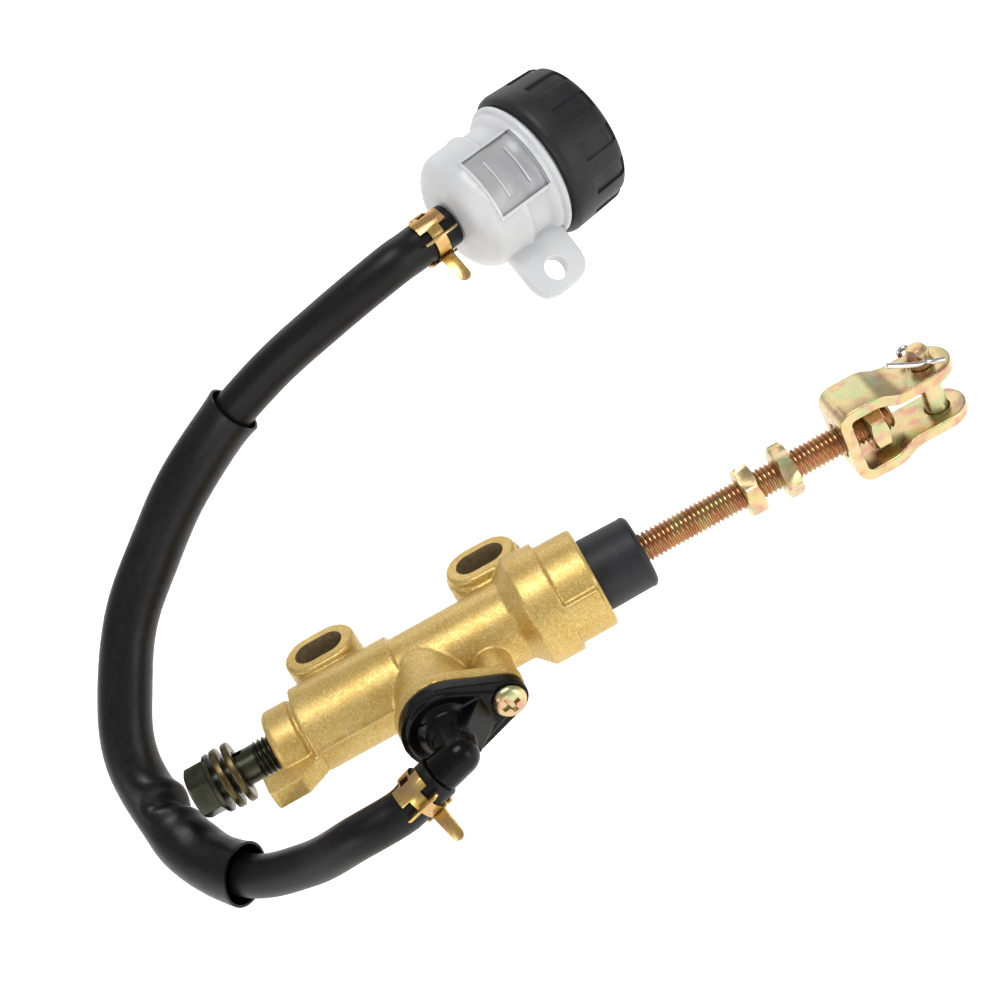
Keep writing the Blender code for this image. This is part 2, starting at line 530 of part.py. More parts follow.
def make_reservoir(cup_finish, cap_finish, rubber, plate_finish):
    """The cup with its spigot and ear, the diaphragm and its plate, and the screw cap."""
    wall = CUP_WALL
    inner = CUP_RADIUS - wall
    rim = 33.0
    cup = [(-12.0, SPIGOT_RADIUS), (GAP, SPIGOT_RADIUS), (GAP, 11.0), (1.6, 14.2)]
    cup += [(5.2, CUP_RADIUS), (13.6, CUP_RADIUS), (14.6, CUP_RADIUS - 0.4), (19.5, CUP_RADIUS - 0.4)]
    cup += [(20.4, 16.6), (22.6, 18.4), (23.8, 18.4)]
    cup += [(23.8, NECK_RADIUS), (rim, NECK_RADIUS), (rim, NECK_RADIUS - wall), (22.0, NECK_RADIUS - wall)]
    cup += [(19.5, inner - 0.4), (5.6, inner), (2.8, 13.0), (1.9, 11.0), (1.9, 1.7), (-12.0, 1.7)]
    body = add_object("reservoir_cup", turned(cup), cup_finish, RESERVOIR)
    ear = [(6.1, 15.0), (22.2, 15.0), (22.2, 26.0)] + arc((17.6, 26.0), 4.6, 0, 90, 5)[1:]
    ear += arc((10.7, 26.0), 4.6, 90, 180, 5)
    combine(body, prism(ear, -2.0, 2.0, "Z"), "UNION", RESERVOIR)
    hole = RESERVOIR @ place((14.0, 24.7, 0.0), (0.0, 0.0, 1.0), (1.0, 0.0, 0.0))
    combine(body, cylinder(-5.0, 5.0, 3.1, SMALL_SIDES), "DIFFERENCE", hole)

    flange = rim + GAP
    diaphragm = [(flange, 13.8), (flange, 16.6), (flange + 1.0, 16.6), (flange + 1.0, 12.6), (28.6, 11.0)]
    diaphragm += [(28.6, 0.0), (27.4, 0.0), (27.4, 12.0)]
    add_object("diaphragm", turned(diaphragm), rubber, RESERVOIR)
    plate_low = flange + 1.0 + GAP
    plate = ring(plate_low, plate_low + 1.4, 6.0, 16.6)
    add_object("diaphragm_plate", plate, plate_finish, RESERVOIR)

    under = plate_low + 1.4 + GAP
    skirt = NECK_RADIUS + GAP
    cap = [(24.6, skirt), (24.6, 18.3), (26.6, CAP_RADIUS), (40.4, CAP_RADIUS - 0.8)]
    cap += [(42.0, CAP_RADIUS - 2.2), (42.6, CAP_RADIUS - 4.2), (42.6, 0.0), (under, 0.0), (under, skirt)]
    add_object("reservoir_cap", turned(cap, 32), cap_finish, RESERVOIR)


def main():
    """Makes every piece of the assembly."""
    clear_scene()
    gold = finish("gold_paint", (0.58, 0.37, 0.10), 0.38, 0.85)
    black_plastic = finish("gloss_black_plastic", (0.010, 0.010, 0.011), 0.25)
    cap_plastic = finish("cap_plastic", (0.022, 0.023, 0.026), 0.5)
    cup_plastic = finish("cup_plastic", (0.80, 0.84, 0.87), 0.35)
    white_plastic = finish("white_plastic", (0.8, 0.8, 0.8), 0.4)
    rubber = finish("black_rubber", (0.018, 0.018, 0.020), 0.5)
    soft_sleeve = finish("soft_sleeve", (0.012, 0.012, 0.013), 0.45)
    yellow_zinc = finish("yellow_zinc", (0.72, 0.55, 0.28), 0.3, 1.0)
    copper_zinc = finish("copper_zinc", (0.62, 0.34, 0.18), 0.32, 1.0)
    dark_steel = finish("dark_steel", (0.055, 0.062, 0.050), 0.4, 0.9)
    bronze = finish("bronze_washer", (0.22, 0.19, 0.13), 0.4, 0.9)
    bright_steel = finish("bright_steel", (0.6, 0.6, 0.6), 0.3, 1.0)
    make_casting(gold)
    make_inlet(black_plastic, rubber, yellow_zinc)
    make_piston_group(bright_steel, rubber, bright_steel)
    make_push_rod_group(copper_zinc, yellow_zinc, rubber)
    make_clevis_group(yellow_zinc, yellow_zinc, bright_steel)
    make_banjo_bolt(dark_steel, bronze)
    make_hose_group(rubber, soft_sleeve, yellow_zinc)
    make_reservoir(cup_plastic, cap_plastic, rubber, white_plastic)


main()
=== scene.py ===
"""Looks for a brake master cylinder with a remote reservoir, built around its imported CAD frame.

Every class models one sub-assembly in millimetres with Blender's own operators, then settles each piece in
metres at its place in the frame, gives it a finish and lets it ride on its body.
"""

import logging
from contextlib import contextmanager
from dataclasses import dataclass, field
from enum import Enum
from math import atan2, cos, degrees, exp, hypot, radians, sin, tau
from typing import Callable, Iterator, Sequence

import bpy
from mathutils import Matrix, Vector


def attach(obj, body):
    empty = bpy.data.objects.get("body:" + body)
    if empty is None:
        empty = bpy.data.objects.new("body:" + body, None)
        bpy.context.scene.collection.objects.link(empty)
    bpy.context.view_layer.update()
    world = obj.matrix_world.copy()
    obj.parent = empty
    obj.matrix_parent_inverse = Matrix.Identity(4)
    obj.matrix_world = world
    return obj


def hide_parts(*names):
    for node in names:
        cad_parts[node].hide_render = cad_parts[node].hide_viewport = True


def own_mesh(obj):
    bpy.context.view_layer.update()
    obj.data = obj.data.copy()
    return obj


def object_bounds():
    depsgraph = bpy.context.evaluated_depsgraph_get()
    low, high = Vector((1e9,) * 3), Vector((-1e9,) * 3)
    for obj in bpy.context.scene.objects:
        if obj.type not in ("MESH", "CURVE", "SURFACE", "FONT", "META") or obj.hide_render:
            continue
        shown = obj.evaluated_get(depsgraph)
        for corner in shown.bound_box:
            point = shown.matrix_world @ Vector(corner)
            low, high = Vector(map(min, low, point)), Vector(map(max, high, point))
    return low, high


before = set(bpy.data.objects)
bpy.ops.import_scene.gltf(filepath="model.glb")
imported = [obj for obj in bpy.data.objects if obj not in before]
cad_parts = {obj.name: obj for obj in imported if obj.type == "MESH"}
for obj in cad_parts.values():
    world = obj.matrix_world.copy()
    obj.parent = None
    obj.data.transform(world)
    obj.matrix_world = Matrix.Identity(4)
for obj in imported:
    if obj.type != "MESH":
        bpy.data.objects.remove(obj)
CAD_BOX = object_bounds()

log = logging.getLogger("brake_master_cylinder")
logging.basicConfig(level=logging.INFO, format="%(message)s")

Thing = bpy.types.Object
Tree = bpy.types.NodeTree
Socket = bpy.types.NodeSocket
Pair = tuple[float, float]
Profile = Sequence[Pair]

# One millimetre in metres, how near two doubled vertices are in millimetres, and the steps of a turn.
MM = 0.001
DOUBLE = 0.002
FINE = 96
MEDIUM = 64
SMALL = 40


# Modelling on the bench, in millimetres.


class Mix(Enum):
    """How a second solid acts on a first."""

    JOIN = "UNION"
    CUT = "DIFFERENCE"
    COMMON = "INTERSECT"


def deselect() -> None:
    """Leaves edit mode and clears the selection."""
    if bpy.context.object and bpy.context.object.mode != "OBJECT":
        bpy.ops.object.mode_set(mode="OBJECT")
    bpy.ops.object.select_all(action="DESELECT")


def take(piece: Thing) -> None:
    """Makes one piece the only selected and active one.

    Args:
        piece: The piece to select.
    """
    deselect()
    piece.select_set(True)
    bpy.context.view_layer.objects.active = piece


@contextmanager
def editing(piece: Thing, element: str = "VERT", everything: bool = True) -> Iterator[None]:
    """Edits one piece's mesh, with everything or the picked elements selected.

    Args:
        piece: The piece to edit.
        element: The kind of element to select, VERT, EDGE or FACE.
        everything: Whether all of the mesh starts selected.
    """
    take(piece)
    bpy.ops.object.mode_set(mode="EDIT")
    bpy.ops.mesh.select_mode(type=element)
    if everything:
        bpy.ops.mesh.select_all(action="SELECT")
    yield
    bpy.ops.object.mode_set(mode="OBJECT")


def pick_faces(piece: Thing, wanted: Callable[[Vector, Vector], bool]) -> int:
    """Selects the faces that a test wants.

    Args:
        piece: The piece whose faces are tested.
        wanted: Takes a face's centre and normal and says whether it is picked.

    Returns:
        How many faces were picked.
    """
    mesh = piece.data
    mesh.vertices.foreach_set("select", [False] * len(mesh.vertices))
    mesh.edges.foreach_set("select", [False] * len(mesh.edges))
    picked = [wanted(face.center, face.normal) for face in mesh.polygons]
    mesh.polygons.foreach_set("select", picked)
    return sum(picked)


def draw_line(name: str, points: Sequence[Sequence[float]]) -> Thing:
    """Draws a line by extruding one vertex through points.

    Args:
        name: The new piece's name.
        points: Where the line goes. If the last is the first again, the line is closed.

    Returns:
        A piece that is only edges.
    """
    deselect()
    bpy.ops.mesh.primitive_plane_add(size=0.1, location=points[0])
    piece = bpy.context.object
    piece.name = name
    bpy.ops.object.transform_apply(location=True)
    with editing(piece):
        bpy.ops.mesh.merge(type="CENTER")
        for start, stop in zip(points, points[1:]):
            step = Vector(stop) - Vector(start)
            bpy.ops.mesh.extrude_region_move(TRANSFORM_OT_translate={"value": step})
        bpy.ops.mesh.select_all(action="SELECT")
        bpy.ops.mesh.remove_doubles(threshold=DOUBLE)
    return piece


def tidy_shell(piece: Thing) -> None:
    """Merges doubled vertices and turns all faces outward.

    Args:
        piece: The closed piece.
    """
    with editing(piece):
        bpy.ops.mesh.remove_doubles(threshold=DOUBLE)
        bpy.ops.mesh.select_all(action="SELECT")
        bpy.ops.mesh.normals_make_consistent(inside=False)


def turned(name: str, profile: Profile, steps: int = FINE) -> Thing:
    """Spins a profile once about X.

    Args:
        name: The new piece's name.
        profile: Pairs of place along X and radius, from axis to axis, or closed on itself for a ring.
        steps: How many steps the turn takes.

    Returns:
        A closed round piece.
    """
    piece = draw_line(name, [(along, radius, 0.0) for along, radius in profile])
    with editing(piece):
        bpy.ops.mesh.spin(steps=steps, angle=tau, center=(0, 0, 0), axis=(1, 0, 0))
    tidy_shell(piece)
    return piece


def washer(name: str, low: float, high: float, inner: float, outer: float, steps: int = FINE) -> Thing:
    """Spins a rectangle about X into a ring."""
    corners = [(low, inner), (low, outer), (high, outer), (high, inner), (low, inner)]
    return turned(name, corners, steps)


def rod(name: str, low: float, high: float, radius: float, steps: int = MEDIUM) -> Thing:
    """Spins a plain bar about X, which cuts a hole or fills a boss."""
    return turned(name, [(low, 0), (low, radius), (high, radius), (high, 0)], steps)


def prism(name: str, outline: Profile, low: float, high: float, along: str = "Z") -> Thing:
    """Extrudes a flat outline along one axis.

    Args:
        name: The new piece's name.
        outline: Pairs in the other two axes, in their alphabetical order.
        low: Where it starts on the axis.
        high: Where it ends on the axis.
        along: The axis, X, Y or Z.

    Returns:
        A closed straight piece.
    """
    order = {"X": (2, 0, 1), "Y": (0, 2, 1), "Z": (0, 1, 2)}[along]
    points = [[(first, second, low)[slot] for slot in order] for first, second in outline]
    piece = draw_line(name, [*points, points[0]])
    step = [0.0, 0.0, 0.0]
    step["XYZ".index(along)] = high - low
    with editing(piece):
        bpy.ops.mesh.edge_face_add()
        bpy.ops.mesh.extrude_region_move(TRANSFORM_OT_translate={"value": step})
    tidy_shell(piece)
    return piece


def block(name: str, low: Sequence[float], high: Sequence[float]) -> Thing:
    """Extrudes a rectangle between two corners into a block."""
    outline = [(low[0], low[1]), (high[0], low[1]), (high[0], high[1]), (low[0], high[1])]
    return prism(name, outline, low[2], high[2])


def modify(piece: Thing, kind: str, **settings: object) -> None:
    """Adds a modifier with its settings and applies it.

    Args:
        piece: The piece that it changes.
        kind: The modifier's type.
        **settings: Its properties by name.
    """
    take(piece)
    modifier = piece.modifiers.new(kind.lower(), kind)
    for key, value in settings.items():
        setattr(modifier, key, value)
    bpy.ops.object.modifier_apply(modifier=modifier.name)


def combine(target: Thing, tool: Thing, how: Mix, matrix: Matrix | None = None) -> None:
    """Joins, cuts or intersects a target with a tool, and removes the tool.

    Args:
        target: The piece that stays.
        tool: The solid that acts on it.
        how: What the tool does.
        matrix: Where the tool is first moved, in millimetres.
    """
    if matrix is not None:
        move(tool, matrix)
    modify(target, "BOOLEAN", object=tool, operation=how.value, solver="EXACT")
    bpy.data.objects.remove(tool, do_unlink=True)


def move(piece: Thing, matrix: Matrix) -> None:
    """Moves a piece's mesh by a matrix and leaves its object at the origin.

    Args:
        piece: The piece.
        matrix: The move.
    """
    take(piece)
    piece.matrix_world = matrix
    bpy.ops.object.transform_apply(location=True, rotation=True, scale=True)


def bevel(piece: Thing, width: float, segments: int = 2, angle: float = 35.0) -> None:
    """Rounds the edges that are sharper than an angle.

    Args:
        piece: The piece.
        width: How wide the rounding is.
        segments: How many faces make it up.
        angle: The angle in degrees.
    """
    modify(
        piece,
        "BEVEL",
        width=width,
        segments=segments,
        limit_method="ANGLE",
        angle_limit=radians(angle),
        miter_outer="MITER_ARC",
    )


def melt(piece: Thing, grain: float, passes: int, factor: float = 0.5) -> None:
    """Blends a joined solid into one skin with soft corners, as casting and moulding do.

    Args:
        piece: The joined solid.
        grain: The size of the skin's faces in millimetres.
        passes: How many times the corners are smoothed.
        factor: How strong each pass is.
    """
    modify(piece, "REMESH", mode="VOXEL", voxel_size=grain, use_smooth_shade=True)
    modify(piece, "SMOOTH", factor=factor, iterations=passes)


def shade(piece: Thing, angle: float = 38.0) -> None:
    """Smooths the round faces and keeps edges sharper than an angle crisp."""
    take(piece)
    bpy.ops.object.shade_smooth_by_angle(angle=radians(angle))


def merge(name: str, pieces: Sequence[Thing]) -> Thing:
    """Puts several closed solids into one object.

    Args:
        name: The object's name.
        pieces: The solids, of which the first stays.

    Returns:
        The first piece, which now holds them all.
    """
    take(pieces[0])
    for other in pieces[1:]:
        other.select_set(True)
    bpy.ops.object.join()
    pieces[0].name = name
    return pieces[0]


def place(origin: Sequence[float], along: Sequence[float], side: Sequence[float]) -> Matrix:
    """Finds the matrix of a place.

    Args:
        origin: The point.
        along: Where local X points.
        side: Where local Y points, as nearly as it can.

    Returns:
        The matrix.
    """
    x_axis = Vector(along).normalized()
    z_axis = x_axis.cross(Vector(side)).normalized()
    y_axis = z_axis.cross(x_axis)
    return Matrix.Translation(Vector(origin)) @ Matrix((x_axis, y_axis, z_axis)).transposed().to_4x4()


def arc(centre: Pair, radius: float, start: float, stop: float, steps: int) -> list[Pair]:
    """Points on a circle from one angle to another, in degrees."""
    angles = [radians(start + (stop - start) * step / steps) for step in range(steps + 1)]
    return [(centre[0] + radius * cos(a), centre[1] + radius * sin(a)) for a in angles]


def stadium(centre: Pair, radius: float, half_straight: float, steps: int = 20) -> list[Pair]:
    """Draws a slot's outline, long along the first axis.

    Args:
        centre: Its centre.
        radius: The radius of its ends.
        half_straight: Half of the distance between its ends' centres.
        steps: Steps in each end.

    Returns:
        The outline's points.
    """
    right = (centre[0] + half_straight, centre[1])
    left = (centre[0] - half_straight, centre[1])
    return arc(right, radius, -90, 90, steps) + arc(left, radius, 90, 270, steps)


def teardrop(big: Pair, big_radius: float, small: Pair, small_radius: float, steps: int = 18) -> list[Pair]:
    """Draws the outline around two circles joined by their outer tangents.

    Args:
        big: The larger circle's centre.
        big_radius: Its radius.
        small: The smaller circle's centre.
        small_radius: Its radius.
        steps: Steps round the smaller circle. The larger has twice as many.

    Returns:
        The outline's points.
    """
    reach = (small[0] - big[0], small[1] - big[1])
    heading = degrees(atan2(reach[1], reach[0]))
    spread = 90.0 - degrees((big_radius - small_radius) / hypot(*reach))
    first = arc(big, big_radius, heading + spread, heading + 360.0 - spread, 2 * steps)
    return first + arc(small, small_radius, heading - spread, heading + spread, steps)


def thread(
    name: str, low: float, high: float, crest: float, pitch: float, depth: float, steps: int = 32
) -> Thing:
    """Winds one tooth into a screw thread about X and trims it flat at both ends.

    Args:
        name: The new piece's name.
        low: Where the thread starts along X.
        high: Where it ends.
        crest: The outer radius.
        pitch: The distance from tooth to tooth.
        depth: How deep the groove is.
        steps: Steps in each turn.

    Returns:
        A closed threaded bar.
    """
    root = crest - depth
    turns = round((high - low) / pitch) + 2
    start = low - pitch
    shoulder = crest - 0.04
    tooth = [(0.0, root), (0.10, root), (0.42, shoulder), (0.50, crest), (0.58, shoulder), (0.90, root)]
    points = [(start + pitch * share, radius, 0.0) for share, radius in tooth]
    piece = draw_line(name, [*points, (start + pitch, root, 0.0)])
    modify(
        piece,
        "SCREW",
        axis="X",
        angle=tau,
        screw_offset=pitch,
        iterations=turns,
        steps=steps,
        render_steps=steps,
        use_merge_vertices=False,
    )
    with editing(piece):
        bpy.ops.mesh.remove_doubles(threshold=DOUBLE)
        bpy.ops.mesh.select_all(action="SELECT")
        bpy.ops.mesh.bisect(plane_co=(low, 0, 0), plane_no=(1, 0, 0), use_fill=True, clear_inner=True)
        bpy.ops.mesh.select_all(action="SELECT")
        bpy.ops.mesh.bisect(plane_co=(high, 0, 0), plane_no=(1, 0, 0), use_fill=True, clear_outer=True)
    tidy_shell(piece)
    return piece


def smooth_route(points: Sequence[Vector], spacing: float) -> list[Vector]:
    """Evenly spaced points along a smooth curve through a route's own points.

    Args:
        points: The route's own points.
        spacing: The distance between the new points.

    Returns:
        The new points.
    """
    ends = [points[0] * 2 - points[1], *points, points[-1] * 2 - points[-2]]
    fine = []
    for before, start, stop, after in zip(ends, ends[1:], ends[2:], ends[3:]):
        for step in range(24):
            t = step / 24
            pull = (stop - before) * t + (before * 2 - start * 5 + stop * 4 - after) * t * t
            bend = (start * 3 - before - stop * 3 + after) * t * t * t
            fine.append(start + (pull + bend) * 0.5)
    fine.append(points[-1])
    lengths = [0.0]
    for first, second in zip(fine, fine[1:]):
        lengths.append(lengths[-1] + (second - first).length)
    count = round(lengths[-1] / spacing)
    even = []
    index = 0
    for step in range(count + 1):
        wanted = lengths[-1] * step / count
        while index < len(fine) - 2 and lengths[index + 1] < wanted:
            index += 1
        share = (wanted - lengths[index]) / (lengths[index + 1] - lengths[index])
        even.append(fine[index].lerp(fine[index + 1], share))
    return even


def tube(name: str, route: Sequence[Vector], radius: float, sides: int, capped: bool) -> Thing:
    """Runs a round tube along a route.

    Args:
        name: The new piece's name.
        route: The points that it follows.
        radius: Its outer radius.
        sides: How many sides it has, a multiple of four.
        capped: Whether its ends are closed.

    Returns:
        A mesh tube, its rings in the route's order.
    """
    deselect()
    curve = bpy.data.curves.new(name, "CURVE")
    curve.dimensions = "3D"
    curve.bevel_depth = radius
    curve.bevel_resolution = sides // 2 - 2
    curve.use_fill_caps = capped
    line = curve.splines.new("POLY")
    line.points.add(len(route) - 1)
    for point, position in zip(line.points, route):
        point.co = (*position, 1.0)
    piece = bpy.data.objects.new(name, curve)
    bpy.context.scene.collection.objects.link(piece)
    take(piece)
    bpy.ops.object.convert(target="MESH")
    tidy_shell(piece)
    return piece


# Finishes.


def linear(code: str) -> tuple[float, float, float, float]:
    """Turns an sRGB colour into linear values.

    Args:
        code: The colour in hex.

    Returns:
        Red, green, blue and full alpha.
    """
    parts = [int(code[start : start + 2], 16) / 255 for start in (1, 3, 5)]
    red, green, blue = [
        part / 12.92 if part <= 0.04045 else ((part + 0.055) / 1.055) ** 2.4 for part in parts
    ]
    return (red, green, blue, 1.0)


def add_node(tree: Tree, kind: str, settings: dict | None = None, inputs: dict | None = None) -> bpy.types.Node:
    """Adds one shader node.

    Args:
        tree: The material's nodes.
        kind: The node's type.
        settings: Its own properties.
        inputs: Its inputs by name or number, each a value or a socket to link from.

    Returns:
        The new node.
    """
    node = tree.nodes.new(kind)
    for key, value in (settings or {}).items():
        setattr(node, key, value)
    for key, value in (inputs or {}).items():
        if isinstance(value, Socket):
            tree.links.new(value, node.inputs[key])
        else:
            node.inputs[key].default_value = value
    return node


@dataclass(frozen=True)
class Finish:
    """A surface: its colour, how it shines, and the patterns that break it up.

    The pattern sizes are real sizes in millimetres.
    """

    name: str
    colour: str
    other: str
    roughness: float
    metallic: float = 0.0
    patch_mm: float = 4.0
    grain_mm: float = 0.5
    bump_mm: float = 0.01
    uneven: float = 0.08
    coat: float = 0.0
    specular: float = 0.5

    def start(self) -> tuple[bpy.types.Material, Tree, bpy.types.Node, Socket]:
        """Makes the material with its uniform values.

        Returns:
            The material, its nodes, its shader and the object coordinates.
        """
        material = bpy.data.materials.new(self.name)
        material.use_nodes = True
        tree = material.node_tree
        shader = tree.nodes["Principled BSDF"]
        shader.inputs["Metallic"].default_value = self.metallic
        shader.inputs["Coat Weight"].default_value = self.coat
        shader.inputs["Coat Roughness"].default_value = 0.08
        shader.inputs["Specular IOR Level"].default_value = self.specular
        spot = add_node(tree, "ShaderNodeTexCoord").outputs["Object"]
        return material, tree, shader, spot

    def noise(self, tree: Tree, spot: Socket, size_mm: float, detail: float = 3.0) -> Socket:
        """A soft noise whose spots are about a size in millimetres."""
        inputs = {"Vector": spot, "Scale": 1.0 / (size_mm * MM), "Detail": detail}
        return add_node(tree, "ShaderNodeTexNoise", None, inputs).outputs["Fac"]

    def blend(self, tree: Tree, share: object, first: object, second: object) -> Socket:
        """Mixes two colours by a share."""
        inputs = {0: share, 6: first, 7: second}
        return add_node(tree, "ShaderNodeMix", {"data_type": "RGBA"}, inputs).outputs[2]

    def remap(self, tree: Tree, value: Socket, low: float, high: float, to_low: float, to_high: float) -> Socket:
        """Stretches one range of values onto another."""
        inputs = {0: value, 1: low, 2: high, 3: to_low, 4: to_high}
        return add_node(tree, "ShaderNodeMapRange", None, inputs).outputs[0]

    def paint(self, tree: Tree, spot: Socket) -> Socket:
        """The colour over the surface: two shades in soft patches."""
        patches = self.remap(tree, self.noise(tree, spot, self.patch_mm), 0.35, 0.65, 0.0, 1.0)
        return self.blend(tree, patches, linear(self.colour), linear(self.other))

    def build(self) -> bpy.types.Material:
        """Makes the material.

        Returns:
            The finished material.
        """
        material, tree, shader, spot = self.start()
        grain = self.noise(tree, spot, self.grain_mm)
        tree.links.new(self.paint(tree, spot), shader.inputs["Base Color"])
        low, high = max(0.02, self.roughness - self.uneven), self.roughness + self.uneven
        tree.links.new(self.remap(tree, grain, 0.3, 0.7, low, high), shader.inputs["Roughness"])
        inputs = {"Height": grain, "Distance": self.bump_mm * MM, "Strength": 1.0}
        tree.links.new(add_node(tree, "ShaderNodeBump", None, inputs).outputs["Normal"], shader.inputs["Normal"])
        return material


@dataclass(frozen=True)
class FlakePaint(Finish):
    """Metallic paint over a die casting: fine flakes painted as glints and shade, and a slight orange peel."""

    # Real flakes are finer than a tenth of a millimetre. They are drawn this coarse so that they show.
    flake_mm: float = 0.30
    # The bright flake colour is a painted glint and the dark flake colour is painted shade.
    bright: str = "#F2E2B0"
    dark: str = "#9A7C40"

    def paint(self, tree: Tree, spot: Socket) -> Socket:
        """Adds single flakes to the soft patches, painted bright where they would catch the light and dark where they
        would lose it.

        Args:
            tree: The material's nodes.
            spot: The object coordinates.

        Returns:
            The colour.
        """
        base = super().paint(tree, spot)
        inputs = {"Vector": spot, "Scale": 1.0 / (self.flake_mm * MM)}
        cells = add_node(tree, "ShaderNodeTexVoronoi", None, inputs)
        chance = add_node(tree, "ShaderNodeSeparateColor", None, {0: cells.outputs["Color"]})
        lit = self.remap(tree, chance.outputs[0], 0.70, 1.0, 0.0, 0.38)
        dim = self.remap(tree, chance.outputs[1], 0.66, 1.0, 0.0, 0.50)
        darker = self.blend(tree, dim, base, linear(self.dark))
        return self.blend(tree, lit, darker, linear(self.bright))


@dataclass(frozen=True)
class Chromate(Finish):
    """Passivated zinc plating, whose thin film drifts from gold to pink and green."""

    pink: str = "#C48C7E"
    green: str = "#B4C08C"
    strength: float = 0.75

    def paint(self, tree: Tree, spot: Socket) -> Socket:
        """Adds a pink and a green drift to the soft patches.

        Args:
            tree: The material's nodes.
            spot: The object coordinates.

        Returns:
            The colour.
        """
        base = super().paint(tree, spot)
        inputs = {"Vector": spot, "Location": (0.031, 0.017, 0.043)}
        shifted = add_node(tree, "ShaderNodeMapping", None, inputs).outputs[0]
        warm, cool = self.patch_mm * 1.2, self.patch_mm * 1.5
        rosy = self.remap(tree, self.noise(tree, spot, warm, 1.0), 0.50, 0.66, 0.0, self.strength)
        leafy = self.remap(tree, self.noise(tree, shifted, cool, 1.0), 0.50, 0.64, 0.0, self.strength)
        return self.blend(tree, leafy, self.blend(tree, rosy, base, linear(self.pink)), linear(self.green))


@dataclass(frozen=True)
class MilkyPlastic(Finish):
    """Natural polyethylene, cloudy and slightly blue, that lets some light through."""

    depth_mm: float = 1.5
    through: float = 0.12

    def build(self) -> bpy.types.Material:
        """Makes the material, with light scattered under its skin.

        Returns:
            The finished material.
        """
        material = super().build()
        shader = material.node_tree.nodes["Principled BSDF"]
        shader.inputs["Subsurface Weight"].default_value = 0.4
        shader.inputs["Subsurface Radius"].default_value = (1.0, 1.0, 1.0)
        shader.inputs["Subsurface Scale"].default_value = self.depth_mm * MM
        shader.inputs["Transmission Weight"].default_value = self.through
        return material


# Flakes with painted glints and painted shade make the gold glitter, and slow patches keep it from looking flat.
GOLD = FlakePaint(
    "gold flake paint on die cast aluminium", "#CBAE66", "#C09F54", 0.42, 0.60, 9.0, 0.7, 0.020, 0.08
)
# The walls of slots and bores are matt and grey brown, partly bare metal and partly painted shade, so the openings look
# deep and unpainted.
BARE_METAL_AND_SHADE = Finish("raw die cast bore with painted shade", "#8A7656", "#756344", 0.60, 0.2, 1.5, 0.3, 0.02)
# Nearly black and smooth, so the elbow shows only thin highlights along its edges.
GLOSS_BLACK = Finish(
    "moulded gloss nylon", "#060607", "#080809", 0.22, 0.0, 6.0, 3.0, 0.004, 0.03, 0.0, 0.16
)
# A fine even grain spreads the highlights of the cap into a dull sheen.
CAP_BLACK = Finish(
    "moulded black polypropylene", "#18181A", "#1D1C1E", 0.46, 0.0, 5.0, 0.35, 0.003, 0.06, 0.0, 0.30
)
# Light sinks into the plastic and comes out soft, which gives the cup its cloudy glow.
CUP_MILK = MilkyPlastic("natural polyethylene", "#CFCFD0", "#C7C8CA", 0.34, 0.0, 9.0, 1.2, 0.002, 0.04)
# The wall is thinner here, and the window is painted a darker grey with large soft clouds: painted shade of the dim
# inside of the cup.
SHADED_WINDOW_MILK = MilkyPlastic(
    "thin polyethylene window with painted shade", "#9C9C9F", "#AFAFAF", 0.24, 0.0, 16.0, 3.0, 0.002, 0.03
)
# A plain matt white for a hidden moulding.
WHITE_MOULD = Finish("moulded white nylon", "#E9E9E6", "#DEDEDA", 0.4, 0.0, 3.0, 0.4, 0.006)
# A fine grain roughens the shine along the hose, as dust and extrusion do.
HOSE_RUBBER = Finish(
    "extruded nitrile rubber", "#09090A", "#0D0D0E", 0.40, 0.0, 5.0, 0.45, 0.006, 0.07, 0.0, 0.22
)
# The lightest and dullest of the blacks, with a powdery bloom.
BOOT_RUBBER = Finish(
    "moulded boot rubber", "#17161A", "#1E1D20", 0.50, 0.0, 3.0, 0.30, 0.010, 0.08, 0.0, 0.35
)
# A little shinier than the hose, with slow waves that bend its long highlight.
SLEEVE_VINYL = Finish(
    "soft vinyl sleeving", "#08080A", "#0C0C0E", 0.36, 0.0, 9.0, 1.6, 0.012, 0.08, 0.0, 0.28
)
# Pink and green drifts over pale gold give the plating its rainbow film.
YELLOW_ZINC = Chromate("yellow zinc passivate", "#CDB67E", "#D2BC94", 0.30, 1.0, 3.5, 0.6, 0.0010, 0.06)
# A deeper yellow with faint drifts, as on thin spring steel.
CLAMP_ZINC = Chromate(
    "yellow zinc on spring steel", "#CDB062", "#C29668", 0.28, 1.0, 4.0, 0.5, 0.0008, 0.05, strength=0.3
)
# A browner film, which makes the thread look bronze beside the nuts.
COPPER_ZINC = Chromate(
    "bronze zinc passivate on thread", "#BE9468", "#AC7E5A", 0.30, 1.0, 4.0, 0.4, 0.0010, 0.05, strength=0.3
)
# A dark green grey metal with small bright edges.
OLIVE_STEEL = Finish("olive passivate on steel", "#4A4B3E", "#3B3C32", 0.30, 1.0, 3.0, 0.5, 0.002, 0.06)
# Dull brown metal with uneven tarnish, so the washers stand out from the bolt.
BRONZE = Finish("dulled bronze washer", "#64573A", "#52472F", 0.34, 1.0, 3.0, 0.4, 0.003, 0.08)
# The one white metal, sharp and clean, as drawn wire is.
BRIGHT_STEEL = Finish("bright drawn steel", "#CFCFCC", "#BFBFBC", 0.22, 1.0, 3.0, 0.4, 0.0015)
# Soft turned metal for the hidden piston.
ALUMINIUM = Finish("turned aluminium", "#D6D6D4", "#C9C9C8", 0.30, 1.0, 3.0, 0.3, 0.002)


